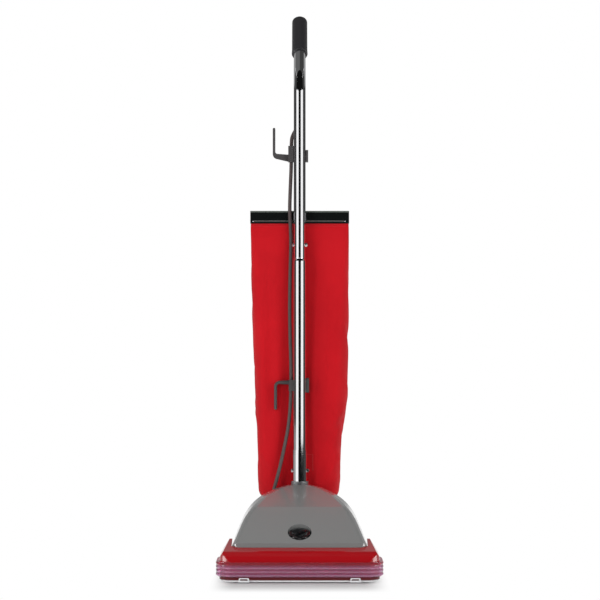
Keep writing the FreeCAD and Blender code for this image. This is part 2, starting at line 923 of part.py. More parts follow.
def motor_bearings():
    """Lower and upper ball bearings, as plain rings."""
    rings = []
    for low in (cover_z + 6, shaft_top - 9):
        ring = upright(11 - 0.02, 0, motor_y, low, low + 7)
        rings.append(ring.cut(upright(shaft_radius + running_gap, 0, motor_y, low - 1, low + 8)))
    return Part.makeCompound(rings)


def motor_frame():
    """Slotted can round the field, with two brush guides and a spider for the upper bearing."""
    low = cover_z + cover_thick
    top = 128.0
    can = upright(50, 0, motor_y, low, top).cut(upright(47.2, 0, motor_y, low - 1, top + 1))
    slots = []
    for i in range(4):
        slot = box((-60, 60), (motor_y - 6, motor_y + 6), (low + 12, low + 56))
        slot.rotate(Vector(0, motor_y, 0), Vector(0, 0, 1), 45 * i + 22.5)
        slots.append(slot)
    bars = []
    for i in range(3):
        bar = box((-49, 49), (motor_y - 7, motor_y + 7), (top - 2, top + 3))
        bar.rotate(Vector(0, motor_y, 0), Vector(0, 0, 1), 60 * i + 30)
        bars.append(bar)
    seat = upright(15, 0, motor_y, top - 2, shaft_top - 1)
    guide = box((17, 48), (motor_y - 5, motor_y + 5), (115.5, 125.5))
    guide = guide.cut(box((16, 42), (motor_y - 3.2, motor_y + 3.2), (117.3, 123.7)))
    body = joined([can.cut(slots)] + bars + [seat] + both_sides(guide))
    return body.cut([upright(11, 0, motor_y, shaft_top - 9, 200), upright(6, 0, motor_y, 100, 200)])


def motor_stator():
    """Two-pole field core, bored for the armature, with flats for its coils."""
    low = 66.0
    high = 104.0
    ring = upright(47, 0, motor_y, low, high)
    bore = upright(25.5, 0, motor_y, low - 1, high + 1)
    pocket = box((-36, 36), (motor_y - 16, motor_y + 16), (low - 1, high + 1))
    return ring.cut([bore, pocket])


def field_coils():
    """Two wound coils over the field's poles."""
    coils = []
    for side in (1, -1):
        outer = box((-35, 35), (motor_y + side * 28 - 9, motor_y + side * 28 + 9), (57, 65.7))
        ring = outer.common(upright(44, 0, motor_y, 50, 120)).cut(upright(27, 0, motor_y, 50, 120))
        upper = ring.copy()
        upper.translate(Vector(0, 0, 104.3 - 57))
        coils += [ring, upper]
    return Part.makeCompound([c for coil in coils for c in coil.Solids])


def carbon_brushes():
    """Carbon blocks that bear on the commutator from both sides."""
    block = box((12.3, 30), (motor_y - 3, motor_y + 3), (117.5, 123.5))
    return Part.makeCompound(both_sides(block))


def motor_shaft():
    """Shaft from the drive pulley up to the upper bearing."""
    return upright(shaft_radius, 0, motor_y, shaft_bottom, shaft_top - 1)


def armature_core():
    """Stack of plates on the shaft, with twelve winding slots."""
    low = 65.0
    high = 105.0
    core = upright(24.7, 0, motor_y, low, high)
    cuts = [upright(shaft_radius, 0, motor_y, low - 1, high + 1)]
    for i in range(12):
        slot = box((15, 26), (motor_y - 1.5, motor_y + 1.5), (low - 1, high + 1))
        slot.rotate(Vector(0, motor_y, 0), Vector(0, 0, 1), 30 * i)
        cuts.append(slot)
    return core.cut(cuts)


def commutator():
    """Copper drum that the carbon blocks ride on."""
    drum = upright(12, 0, motor_y, 111, 125)
    return drum.cut(upright(shaft_radius, 0, motor_y, 110, 126))


def suction_fan():
    """Open fan: a back plate, a hub and eight swept vanes."""
    plate_low = 40.5
    hub = upright(10, 0, motor_y, fan_room_z + 2, plate_low + 2)
    plate = upright(fan_radius, 0, motor_y, plate_low, plate_low + 2)
    shapes = [plate, hub]
    sweep = 42.0
    for i in range(8):
        inner = upright(sweep, 0, motor_y + sweep, fan_room_z + 3, plate_low)
        vane = inner.cut(upright(sweep - 2, 0, motor_y + sweep, 0, 100))
        vane = vane.common(box((0, 60), (motor_y - 60, motor_y + sweep), (0, 100)))
        vane = vane.common(upright(fan_radius - 1, 0, motor_y, 0, 100))
        vane.rotate(Vector(0, motor_y, 0), Vector(0, 0, 1), 45 * i)
        shapes.append(vane)
    fan = joined(shapes)
    eye = upright(13, 0, motor_y, 0, plate_low).cut(upright(10, 0, motor_y, 0, plate_low))
    return fan.cut([upright(shaft_radius, 0, motor_y, 0, 100), eye])


def drive_pulley():
    """Small grooved pulley on the shaft's lower end."""
    pulley = grooved_pulley(drive_pitch)
    pulley.translate(Vector(0, motor_y, belt_z))
    return pulley.cut(upright(shaft_radius, 0, motor_y, 0, 30))


# Wheels


def wheel_profile(radius, bore, inner, outer, shoulder, y, z):
    """The ring section of a tyre or roller with sloped shoulders, to be turned about an axis along X."""
    turn = shoulder if outer > inner else -shoulder
    points = [
        (inner, y, z + bore),
        (inner, y, z + radius - shoulder),
        (inner + 0.3 * turn, y, z + radius - 0.3 * shoulder),
        (inner + turn, y, z + radius),
        (outer - turn, y, z + radius),
        (outer - 0.3 * turn, y, z + radius - 0.3 * shoulder),
        (outer, y, z + radius - shoulder),
        (outer, y, z + bore),
    ]
    return rounded_path(points, [0] * len(points))


def rear_tyre(side):
    """Rounded tyre on a rear wheel."""
    x = (side * rear_wheel_inner, side * (rear_wheel_inner + rear_wheel_width))
    wire = wheel_profile(rear_wheel_radius, 27, x[0], x[1], 4, rear_wheel_y, rear_wheel_radius)
    return turned(wire, Vector(0, rear_wheel_y, rear_wheel_radius), Vector(1, 0, 0))


def rear_wheel(side):
    """Rear wheel's hub and web, with five round openings."""
    y = rear_wheel_y
    z = rear_wheel_radius
    inner = min(side * rear_wheel_inner, side * (rear_wheel_inner + rear_wheel_width))
    outer = inner + rear_wheel_width
    rim = across(26.95, y, z, inner + 1, outer - 1).cut(across(23.5, y, z, inner, outer))
    web = across(24, y, z, inner + 9, outer - 9)
    hub = across(8.5, y, z, inner, outer)
    wheel = joined([rim, web, hub])
    cuts = [across(axle_radius + running_gap, y, z, inner - 1, outer + 1)]
    for i in range(5):
        a = math.radians(72 * i + 90)
        cuts.append(across(4.5, y + 16 * math.cos(a), z + 16 * math.sin(a), inner, outer))
    return wheel.cut(cuts)


def rear_axles():
    """Stub axles pressed into the body's sides, each with a domed push-on cap outside its wheel."""
    outer = rear_wheel_inner + rear_wheel_width
    pin = across(axle_radius, rear_wheel_y, rear_wheel_radius, rear_half - 24, outer + 4)
    dome = rounded_path(
        [
            (outer + seat_gap, rear_wheel_y, rear_wheel_radius),
            (outer + seat_gap, rear_wheel_y, rear_wheel_radius + 10),
            (outer + 2.5, rear_wheel_y, rear_wheel_radius + 10),
            (outer + 5, rear_wheel_y, rear_wheel_radius + 8),
            (outer + 6, rear_wheel_y, rear_wheel_radius + 5),
            (outer + 6, rear_wheel_y, rear_wheel_radius),
        ],
        [0] * 6,
    )
    cap = turned(dome, Vector(0, rear_wheel_y, rear_wheel_radius), Vector(1, 0, 0))
    cap = cap.cut(across(axle_radius, rear_wheel_y, rear_wheel_radius, outer, outer + 4))
    return Part.makeCompound(both_sides(pin) + both_sides(cap))


def wheel_carriage():
    """Slide: a ring round the knob's drum, a crossbar, a leg down to each wheel and its axle."""
    drop = front_wheel_drop()
    top = drum_top - 1
    low = top - lift_ring
    bar_end = front_wheel_inner + 4
    bar = box((-bar_end, bar_end), (-8, 8), (low, top))
    ring = upright(drum_radius + 4.5, 0, 0, low, top)
    rib = box((-bar_end, bar_end), (-1.5, 1.5), (low - lift_rib, low))
    leg_end = front_wheel_inner - leg_beside_wheel
    leg_start = leg_end - leg_thick
    leg = box((leg_start, leg_end), (-6, 6), (-drop, low)).fuse(across(6, 0, -drop, leg_start, leg_end))
    outer = front_wheel_inner + front_wheel_width
    axle = across(3, 0, -drop, leg_start + 0.5, outer + 0.5).fuse(across(5, 0, -drop, outer + 0.5, outer + 2))
    slide = joined([bar, ring, rib] + both_sides(leg) + both_sides(axle))
    slide = slide.cut(upright(drum_radius + seat_gap, 0, 0, low - 10, top + 1))
    middle = (low + top) / 2
    pin = fore_aft(follower_radius, 0, middle, drum_radius - 1.8, drum_radius + 2)
    return in_knob_frame(joined([slide, pin]))


def front_wheel(side):
    """Plain roller with rounded edges."""
    drop = front_wheel_drop()
    x = (side * front_wheel_inner, side * (front_wheel_inner + front_wheel_width))
    wire = wheel_profile(front_wheel_radius, 3 + running_gap, x[0], x[1], 2.5, 0, 0)
    wheel = turned(wire, Vector(0, 0, 0), Vector(1, 0, 0))
    wheel.translate(Vector(0, 0, -drop))
    return in_knob_frame(wheel)


def height_knob():
    """Knob with a scalloped skirt and a grip bar, in one with the drum that lifts the carriage."""
    body = upright(knob_radius, 0, 0, -knob_height, -1)
    body = body.makeFillet(2.5, [e for e in body.Edges if e.CenterOfMass.z > -1.5 and e.Length > 50])
    cuts = []
    for i in range(10):
        a = math.radians(36 * i)
        ring = knob_radius + 3.2
        cuts.append(upright(5, ring * math.cos(a), ring * math.sin(a), -20, 5))
    dish = Part.makeSphere(34, Vector(0, 0, 29))
    body = body.cut(cuts + [dish])
    bar = plan_slab([(-19, -3.2), (19, -3.2), (19, 3.2), (-19, 3.2)], [3, 3, 3, 3], -9, 0)
    bar.rotate(Vector(0, 0, 0), Vector(0, 0, 1), 35)
    stem = upright(5, 0, 0, drum_top, -knob_height)
    drum = upright(drum_radius, 0, 0, drum_low, drum_top)
    foot = upright(4, 0, 0, drum_low - 6, drum_low)
    return in_knob_frame(joined([body, bar, stem, drum.cut(drum_groove()), foot]))


def drum_groove():
    """Screw groove round the drum: the follower sinks by the lift while the knob makes its turn."""
    pitch = lift_travel * 360 / lift_turn
    run_on = 1.2
    low = drum_top - 1 - lift_ring / 2 - lift_travel - run_on
    helix = Part.makeHelix(pitch, lift_travel + 2 * run_on, drum_radius)
    start = helix.Edges[0].valueAt(helix.Edges[0].FirstParameter)
    heading = helix.Edges[0].tangentAt(helix.Edges[0].FirstParameter)
    ring = Part.Wire(Part.Circle(start, heading, follower_radius + 0.8).toShape())
    groove = Part.Wire(helix.Edges).makePipeShell([ring], True, True)
    # the follower waits at +Y, at the groove's upper end
    turn_to_follower = 90 - (lift_travel + run_on) * 360 / pitch
    groove.rotate(Vector(0, 0, 0), Vector(0, 0, 1), turn_to_follower)
    groove.translate(Vector(0, 0, low))
    return groove


# Handle


def bail_side(inner, outer):
    """The bail's side view, drawn out between two X positions."""
    back = tube_y + 12
    front = tube_y - 18.5
    upper = side_slab(
        [
            (pivot_y - boss_radius + 1.5, pivot_z + 4),
            (front, bail_z - 12),
            (front, bail_top),
            (back, bail_top),
            (back, bail_z - 5),
            (pivot_y + boss_radius - 1, pivot_z + 5),
        ],
        [0, 12, 4, 4, 12, 0],
        inner,
        outer,
    )
    return upper.fuse(across(boss_radius, pivot_y, pivot_z, inner, outer))


def handle_bail():
    """Cast yoke: two legs on the pivot, an arch over the duct and a boss for the socket."""
    arch = front_slab(
        [
            (-leg_outer, pivot_z - 20),
            (-leg_outer, bail_top),
            (leg_outer, bail_top),
            (leg_outer, pivot_z - 20),
        ],
        [0, 28, 28, 0],
        tube_y - 40,
        tube_y + 80,
    )
    gap = front_slab(
        [
            (-leg_inner, pivot_z - 21),
            (-leg_inner, bail_z),
            (leg_inner, bail_z),
            (leg_inner, pivot_z - 21),
        ],
        [0, 20, 20, 0],
        tube_y - 41,
        tube_y + 81,
    )
    legs = bail_side(-leg_outer, leg_outer).common(arch.cut(gap))
    boss = upright(19, 0, tube_y, bail_z, bail_top + 14)
    disc = across(quadrant_radius, pivot_y, pivot_z, -leg_inner, -leg_inner + 7)
    notch = box((-leg_inner - 1, -leg_inner + 8), (pivot_y - 5, pivot_y + 5), (pivot_z - 25, pivot_z - 16))
    solid = joined([legs, boss, disc.cut(notch)])
    return solid.cut(
        [
            upright(socket_radius, 0, tube_y, bail_z + 4, bail_top + 20),
            across(pivot_radius + running_gap, pivot_y, pivot_z, -80, 80),
        ]
    )


def pivot_pins():
    """Headed pins, pressed into the housing's ears, that the bail swings on."""
    ear_outer = leg_outer + 1 + ear_thick
    pin = across(pivot_radius, pivot_y, pivot_z, leg_inner - 6, ear_outer)
    head = across(8, pivot_y, pivot_z, ear_outer, ear_outer + 2.5)
    return Part.makeCompound(both_sides(joined([pin, head])))


def handle_socket():
    """Plated sleeve over the lower tube's end, with two ring grooves under its rim."""
    outer = upright(socket_radius, 0, tube_y, bail_z + 4, socket_top)
    grooves = []
    for low in (socket_top - 9, socket_top - 5):
        band = upright(socket_radius + 1, 0, tube_y, low, low + 1.6)
        grooves.append(band.cut(upright(socket_radius - 0.7, 0, tube_y, low, low + 1.6)))
    bore = upright(lower_tube_radius + 0.02, 0, tube_y, bail_z, socket_top + 1)
    hole = across(bolt_radius + 0.1, tube_y, socket_bolt_z, -30, 30)
    return outer.cut(grooves + [bore, hole])


def cross_bolt(z, reach):
    """A dome-headed bolt straight through the tubes, with its nut."""
    bolt = across(bolt_radius, tube_y, z, -reach, reach + 4.5)
    head = Part.makeSphere(bolt_head + 0.6, Vector(-reach + 1.6, tube_y, z))
    head = head.common(across(bolt_head, tube_y, z, -reach - 5, -reach))
    nut = Part.makePolygon(
        [
            Vector(reach, tube_y + 4.8 * math.cos(math.radians(a)), z + 4.8 * math.sin(math.radians(a)))
            for a in range(0, 420, 60)
        ]
    )
    nut = Part.Face(nut).extrude(Vector(3.2, 0, 0)).cut(across(bolt_radius, tube_y, z, 0, 60))
    return Part.makeCompound([joined([bolt, head]), nut])


def lower_tube():
    """Plated tube from the socket to the joint, drawn down to a neck at its top."""
    low = bail_z + 4
    shoulder = 6.0
    neck = upper_tube_radius - tube_wall - running_gap

    def turn(grow):
        return rounded_path(
            [
                (0, tube_y, low),
                (lower_tube_radius + grow, tube_y, low),
                (lower_tube_radius + grow, tube_y, tube_joint_z - shoulder),
                (neck + grow, tube_y, tube_joint_z),
                (neck + grow, tube_y, tube_joint_z + neck_length),
                (0, tube_y, tube_joint_z + neck_length),
            ],
            [0, 0, 3, 3, 0, 0],
        )

    outer = turned(turn(0), Vector(0, tube_y, 0), Vector(0, 0, 1))
    inner = turned(turn(-tube_wall), Vector(0, tube_y, 0), Vector(0, 0, 1))
    holes = [
        across(bolt_radius + 0.1, tube_y, socket_bolt_z, -30, 30),
        across(bolt_radius + 0.1, tube_y, tube_bolt_z, -30, 30),
    ]
    return outer.cut([inner] + holes)


def upper_tube():
    """Plated tube with one long bend back to the grip."""
    reach = grip_lead_in + grip_bore_depth - 2

    def route(start):
        bend_end = Vector(
            0, tube_y + bend_radius * (1 - tilt_cosine), bend_start_z + bend_radius * tilt_sine
        )
        half = math.radians(grip_tilt / 2)
        middle = Vector(
            0,
            tube_y + bend_radius * (1 - math.cos(half)),
            bend_start_z + bend_radius * math.sin(half),
        )
        bend_start = Vector(0, tube_y, bend_start_z)
        end = bend_end + Vector(0, tilt_sine, tilt_cosine) * reach
        return Part.Wire(
            [
                Part.LineSegment(Vector(0, tube_y, start), bend_start).toShape(),
                Part.Arc(bend_start, middle, bend_end).toShape(),
                Part.LineSegment(bend_end, end).toShape(),
            ]
        )

    outer = rod_along(route(tube_joint_z), upper_tube_radius)
    inner = rod_along(route(tube_joint_z - 0.01), upper_tube_radius - tube_wall)
    holes = [
        across(bolt_radius + 0.1, tube_y, tube_bolt_z, -30, 30),
        fore_aft(5.5, 0, lead_hole_z, tube_y, tube_y + 20),
        fore_aft(7, 0, inlet_z, tube_y, tube_y + 20),
        box((-6.5, 6.5), (tube_y, tube_y + 20), (switch_z - 12, switch_z + 12)),
    ]
    return outer.cut([inner] + holes)


def hand_grip():
    """Moulded grip with a domed end and a slight flare at its rim."""
    flare = 0.6
    wire = rounded_path(
        [
            (upper_tube_radius + 0.02, 0, 0),
            (grip_radius + flare, 0, 0),
            (grip_radius, 0, 14),
            (grip_radius, 0, grip_length),
            (0, 0, grip_length),
            (0, 0, grip_bore_depth),
            (upper_tube_radius + 0.02, 0, grip_bore_depth),
        ],
        [0, 1.5, 0, grip_end_round, 0, 0, 0],
    )
    return in_grip_frame(turned(wire, Vector(0, 0, 0), Vector(0, 0, 1)))


# Switch, cord inlet and hooks

def switch_bezel():
    """Frame of the switch, set in the tube's rear under the bend."""
    face = tube_y + upper_tube_radius + 2
    outer = box((-8.5, 8.5), (tube_y + 9, face), (switch_z - 14, switch_z + 14))
    body = box((-6.3, 6.3), (tube_y - 6, tube_y + 10), (switch_z - 11.8, switch_z + 11.8))
    tube = upright(upper_tube_radius + 0.02, 0, tube_y, switch_z - 20, switch_z + 20)
    inner = upright(upper_tube_radius - tube_wall - 0.1, 0, tube_y, switch_z - 20, switch_z + 20)
    shell = joined([outer.cut(tube), body.common(inner), box((-6.3, 6.3), (tube_y + 5, tube_y + 15), (switch_z - 11.8, switch_z + 11.8))])
    room = box((-5, 5), (tube_y + 1, face + 1), (switch_z - 10, switch_z + 10))
    return shell.cut([room, across(1.5, tube_y + 10, switch_z, -7, 7)])


def switch_rocker():
    """Rocker, lying at its off side, on a pin through the bezel."""
    axis_y = tube_y + 10
    body = side_slab(
        [
            (axis_y - 3, switch_z - 8.5),
            (axis_y + 5.6, switch_z - 8.5),
            (axis_y + 4.2, switch_z),
            (axis_y + 5.6, switch_z + 8.5),
            (axis_y - 3, switch_z + 8.5),
        ],
        [3, 1, 0, 1, 3],
        -4.6,
        4.6,
    )
    body = body.fuse(across(1.45, axis_y, switch_z, -6.2, 6.2))
    body.rotate(Vector(0, axis_y, switch_z), Vector(1, 0, 0), 7)
    return body


def cord_inlet():
    """Strain relief at the tube's rear, open for the supply cord."""
    face = tube_y + upper_tube_radius
    collar = fore_aft(9, 0, inlet_z, tube_y + 9, face + 3)
    sleeve = Part.makeCone(8, 6.2, 16, Vector(0, face + 3, inlet_z), Vector(0, 1, 0))
    stem = fore_aft(6.9, 0, inlet_z, tube_y + 8, tube_y + 12)
    tube = upright(upper_tube_radius + 0.02, 0, tube_y, inlet_z - 20, inlet_z + 20)
    inner = upright(upper_tube_radius - tube_wall, 0, tube_y, inlet_z - 20, inlet_z + 20)
    shape = joined([collar.cut(tube), sleeve, stem, fore_aft(6.9, 0, inlet_z, tube_y + 10, face + 2)])
    return shape.cut(fore_aft(lead_radius + 0.1, 0, inlet_z, tube_y, face + 30))


def lead_grommet():
    """Rubber ring in the tube's rear, where the motor lead comes out."""
    face = tube_y + upper_tube_radius
    ring = fore_aft(5.4, 0, lead_hole_z, tube_y + 10, face + 1).fuse(
        fore_aft(7, 0, lead_hole_z, tube_y + 9, face + 1).cut(
            upright(upper_tube_radius + 0.02, 0, tube_y, lead_hole_z - 20, lead_hole_z + 20)
        )
    )
    return joined([ring]).cut(fore_aft(lead_radius + 0.2, 0, lead_hole_z, tube_y, face + 9))


def upper_hook():
    """Fixed cord hook: a saddle behind the tube, a guide for the lead and a prong that points up."""
    low = 880.0
    left = box((-25, -6), (tube_y - 4, tube_y + 17), (low, 915))
    right = box((-6, 18.6), (tube_y - 4, tube_y + 17), (low, 906))
    arm = front_slab(
        [(-59, 955), (-59, 889), (-20, low), (-20, 896), (-53.4, 898.5), (-53.4, 955)],
        [2.7, 11, 0, 0, 5, 2.7],
        tube_y + 4.5,
        tube_y + 11.5,
    )
    body = joined([left, right, arm])
    return body.cut(
        [
            upright(upper_tube_radius + 0.02, 0, tube_y, 800, 1000),
            box((-upper_tube_radius, upper_tube_radius), (tube_y - 20, tube_y), (800, 1000)),
            upright(lead_radius + 0.4, -18.3, tube_y + lead_back, 800, 1000),
            fore_aft(screw_radius, 0, 893, tube_y, tube_y + 40),
        ]
    )


def lower_hook_bracket():
    """Saddle behind the lower tube that carries the swivelling hook."""
    left = box((-24, 0), (tube_y - 3, tube_y + 24.5), (379, 403))
    right = side_slab(
        [
            (tube_y - 3, 375),
            (tube_y + 24.5, 375),
            (tube_y + 24.5, 407),
            (tube_y - 3, 407),
        ],
        [5, 5, 5, 5],
        0,
        20.5,
    )
    body = joined([left, right])
    return body.cut(
        [
            upright(lower_tube_radius + 0.02, 0, tube_y, 300, 500),
            box((-lower_tube_radius, lower_tube_radius), (tube_y - 20, tube_y), (300, 500)),
            upright(lead_radius + 0.4, lower_clip_x, tube_y + 7.0, 300, 500),
            across(3 + running_gap, hook_axis_y, hook_axis_z, -30, 10),
            fore_aft(screw_radius, 16, hook_axis_z, tube_y, tube_y + 40),
        ]
    )


def lower_hook():
    """Hook that swings up about its own arm, so that the wound cord drops off."""
    arm = across(5, hook_axis_y, hook_axis_z, -54, -24.6)
    shaft = across(3, hook_axis_y, hook_axis_z, -25, 9)
    prong = rounded_path(
        [(-40, hook_axis_y, hook_axis_z), (-53, hook_axis_y, hook_axis_z), (-53, hook_axis_y, 340)],
        [0, 9, 0],
        closed=False,
    )
    rod = rod_along(prong, 3.4)
    taper = Part.makeCone(5, 3.5, 22, Vector(-24.6, hook_axis_y, hook_axis_z), Vector(-1, 0, 0))
    tip = Part.makeSphere(3.4, Vector(-53, hook_axis_y, 340))
    return joined([taper, shaft, rod, tip])


def hook_screws():
    """Screws that hold both saddles to the tubes from behind."""
    upper = joined(
        [
            fore_aft(screw_radius, 0, 893, tube_y + upper_tube_radius + 0.1, tube_y + 17),
            fore_aft(4, 0, 893, tube_y + 17, tube_y + 19.2),
        ]
    )
    lower = joined(
        [
            fore_aft(screw_radius, 16, hook_axis_z, tube_y + 8, tube_y + 24.5),
            fore_aft(3.6, 16, hook_axis_z, tube_y + 24.5, tube_y + 26.2),
        ]
    )
    return Part.makeCompound([upper, lower])


# Bag


def bag_hanger():
    """Spring strap round the tube with a hook over the clamp bar's lip."""
    low = bar_bottom + 6
    high = bar_bottom + bar_height - 1
    strap = upright(upper_tube_radius + 1.2, 0, tube_y, low, high)
    strap = strap.cut(upright(upper_tube_radius + 0.02, 0, tube_y, 0, 1000))
    strap = strap.cut(box((-30, 30), (tube_y - 30, tube_y - 5), (low - 1, high + 1)))
    face = bar_front - seat_gap
    top = bar_bottom + bar_height + bar_lip
    plate = box((-8, 8), (face - 1.4, face), (low, top + 1.6))
    bridge = box((-8, 8), (face - 1.4, bar_front + bar_wall + 1.7), (top + 0.4, top + 1.6))
    turn = box(
        (-8, 8), (bar_front + bar_wall + 0.4, bar_front + bar_wall + 1.7), (bar_bottom + bar_height + 0.5, top + 1.6)
    )
    return joined([strap, plate, bridge, turn]).cut(upright(upper_tube_radius + 0.02, 0, tube_y, 0, 1000))


def bag_clamp_bar():
    """Channel that slides over the bag's thick top hem and closes it."""
    back = bar_front + bar_depth
    top = bar_bottom + bar_height
    middle = bar_front + bar_depth / 2
    outer = side_slab(
        [(bar_front, bar_bottom), (back, bar_bottom), (back, top), (bar_front, top)],
        [2, 2, 2, 0],
        -bar_half,
        bar_half,
    )
    room = side_slab(
        [
            (bar_front + bar_wall, bar_bottom + bar_wall),
            (back - bar_wall, bar_bottom + bar_wall),
            (back - bar_wall, top - bar_wall),
            (bar_front + bar_wall, top - bar_wall),
        ],
        [0.5, 0.5, 0.5, 0.5],
        -bar_half - 1,
        bar_half - 2,
    )
    slot = box(
        (-bar_half - 1, bar_half - 2), (middle - bar_slot / 2, middle + bar_slot / 2), (bar_bottom - 1, bar_bottom + 3)
    )
    lip = box((-bar_half, bar_half), (bar_front, bar_front + bar_wall), (top - 2, top + bar_lip))
    return joined([outer, lip]).cut([room, slot])


def bag_ring(z, half, near, far, corner, fold):
    """One level of the bag: a rounded rectangle whose rear side runs in four broad folds."""
    points = []
    turns = [(1, near + corner, -90), (1, far - corner, 0), (-1, far - corner, 90), (-1, near + corner, 180)]
    for side, y, start in turns:
        for step in range(4):
            a = math.radians(start + 30 * step)
            x = side * (half - corner)
            points.append(Vector(x + corner * math.cos(a), y + corner * math.sin(a), z))
        if start == 0:
            for place, depth in ((0.6, fold), (0.2, -fold), (-0.2, fold), (-0.6, -fold)):
                points.append(Vector(place * half, far + depth, z))
    return Part.makePolygon(points + points[:1])


def bag_levels():
    """Level, half width, front, rear, corner and fold depth of the hanging bag, from its hem down."""
    middle = bar_front + bar_depth / 2
    front = tube_y + 27
    return [
        (bar_bottom - 10, 108.6, middle - 5, middle + 5, 4.5, 0.2),
        (640, 108.0, front - 3, front + 34, 14, 2.5),
        (520, 106.0, front, front + 54, 20, 4.5),
        (400, 102.5, front, front + 68, 22, 5),
        (300, 97.5, front, front + 76, 24, 5),
        (bag_bottom_z, 92.0, front, front + 79, 24, 4),
    ]


def loft(levels, inset):
    """A solid of straight panels between the levels, each moved inwards by inset."""
    rings = []
    for z, half, near, far, corner, fold in levels:
        ring = bag_ring(z, half - inset, near + inset, far - inset, max(corner - inset, 1.5), fold)
        rings.append(ring)
    return Part.makeLoft(rings, True, True)


def dust_bag():
    """Cloth bag from its hem in the clamp bar down to the throat, closed all round."""
    middle = bar_front + bar_depth / 2
    levels = bag_levels()
    outer = loft(levels, 0)
    inner_levels = [list(level) for level in levels]
    inner_levels[0][0] -= 4
    inner_levels[-1][0] += cloth
    inner = loft(inner_levels, cloth)
    hem_low = bar_bottom + bar_wall + seat_gap
    half = bar_half - 2.5
    neck = box((-half, half), (middle - 1.8, middle + 1.8), (levels[0][0] - 0.5, hem_low + 1))
    hem = box(
        (-half, half),
        (bar_front + bar_wall + 0.5, bar_front + bar_depth - bar_wall - 0.5),
        (hem_low, bar_bottom + bar_height - bar_wall - 1),
    )
    return joined([outer.cut(inner), neck, hem])


def bag_throat():
    """Cloth neck that gathers the bag on to the exhaust duct."""
    sleeve = duct_radius + 0.5
    wide = sleeve + cloth
    top = bag_levels()[-1]
    levels = [
        (duct_top + 2, wide, duct_y - wide, duct_y + wide, 9, 0.2),
        (126, 62, duct_y - 36, duct_y + 30, 14, 1),
        (146, 86, top[2] + 6, top[3] - 4, 22, 2),
        (172, 91.5, top[2] + 1, top[3] - 1, 24, 3),
        top,
    ]
    low = collar_z - 1.5
    ring = upright(wide - 0.3, 0, duct_y, low, duct_top + 2 + cloth).cut(
        upright(sleeve - 0.2, 0, duct_y, low - 1, duct_top + 3 + cloth)
    )
    return joined([loft(levels, 0).cut(loft(levels, cloth)), ring])


def elbow(radius):
    """A quarter bend that leaves the flange to the rear and ends as an upright pipe."""
    start = Vector(0, rear_end + flange_thick, duct_z)
    ring = Part.Face(Part.Wire(Part.Circle(start, Vector(0, 1, 0), radius).toShape()))
    bend = ring.revolve(start + Vector(0, 0, duct_bend), Vector(1, 0, 0), 90)
    return bend.fuse(upright(radius, 0, duct_y, duct_z + duct_bend, duct_top))


def exhaust_duct():
    """Elbow bolted to the body's rear wall, which turns the exhaust up into the bag."""
    flange = front_slab(
        [(-27, duct_z - 22), (27, duct_z - 22), (27, duct_z + 22), (-27, duct_z + 22)],
        [6, 6, 6, 6],
        rear_end,
        rear_end + flange_thick,
    )
    outer = elbow(duct_radius)
    bead = upright(duct_radius + 0.2, 0, duct_y, duct_top - 4.5, duct_top - 2)
    inner = elbow(duct_radius - duct_wall)
    hole = fore_aft(duct_radius - duct_wall, 0, duct_z, rear_end - 1, rear_end + flange_thick)
    holes = [
        fore_aft(screw_radius + 0.2, x, z, rear_end - 1, rear_end + flange_thick + 1)
        for x, z in duct_screw_places()
    ]
    return joined([flange, outer, bead]).cut([inner, hole] + holes)


def bag_collar():
    """Clamp ring that holds the throat on the duct, with its split lug at one side."""
    inner = duct_radius + cloth + 0.7
    ring = upright(inner + 1.8, 0, duct_y, collar_z, collar_z + collar_height)
    lug = box((inner, inner + 9), (duct_y - 4, duct_y + 4), (collar_z, collar_z + collar_height))
    body = joined([ring, lug])
    slit = box((inner - 2, inner + 10), (duct_y - 0.8, duct_y + 0.8), (collar_z - 1, collar_z + 20))
    return body.cut([upright(inner, 0, duct_y, 0, 200), slit])


# Release pedal


def release_pedal():
    """Foot pedal with a nose that locks the bail's quadrant."""
    arm = box((-40, -31), (pedal_y - 5, rear_end + 6), (pedal_z - 4, pedal_z + 4))
    arm = arm.fuse(across(5, pedal_y, pedal_z, -40, -31))
    pad = plan_slab(
        [(-56, rear_end + 3), (-30, rear_end + 3), (-30, rear_end + 34), (-56, rear_end + 34)],
        [3, 3, 8, 8],
        pedal_z - 4,
        pedal_z + 2,
    )
    ribs = [
        box((-52, -34), (rear_end + 9 + 6 * i, rear_end + 11 + 6 * i), (pedal_z + 2, pedal_z + 3.2))
        for i in range(4)
    ]
    rim_z = pivot_z - quadrant_radius
    nose = box((-47.5, -39), (pivot_y - 4, pivot_y + 4), (pedal_z - 2, rim_z - 0.7))
    solid = joined([arm, pad, nose] + ribs)
    return solid.cut(across(2.5 + running_gap, pedal_y, pedal_z, -60, -20))


def pedal_pin():
    """Pin that the pedal turns on."""
    return across(2.5, pedal_y, pedal_z, -57, -22)


def pedal_spring():
    """Short spring under the pedal's arm, as a plain sleeve."""
    y = pivot_y + 6
    ring = upright(4, -35.5, y, 34 + seat_gap, pedal_z - 4 - seat_gap)
    return ring.cut(upright(2.6, -35.5, y, 30, 50))


# Motor lead


def lead_points():
    """The lead's route down the handle, from the hole behind the upper tube to the bail."""
    y = tube_y
    return [
        (0, y + 5, lead_hole_z),
        (0, y + 28, lead_hole_z),
        (-16, y + 21, 940),
        (-18.3, y + lead_back, 924),
        (-18.3, y + lead_back, 872),
        (-20.5, y + 9, 823),
        (-22.3, y + 9, 770),
        (-18.6, y + 10, 712),
        (-20.6, y + 10.5, 650),
        (-22.0, y + 10.5, 570),
        (-21.2, y + 10, 505),
        (lower_clip_x, y + 7, 440),
        (lower_clip_x, y + 7, 368),
        (-23.7, y + 8, 304),
        (-33, y + 9, 258),
        (-44, y + 9, 208),
        (-53, y + 9, 175),
    ]


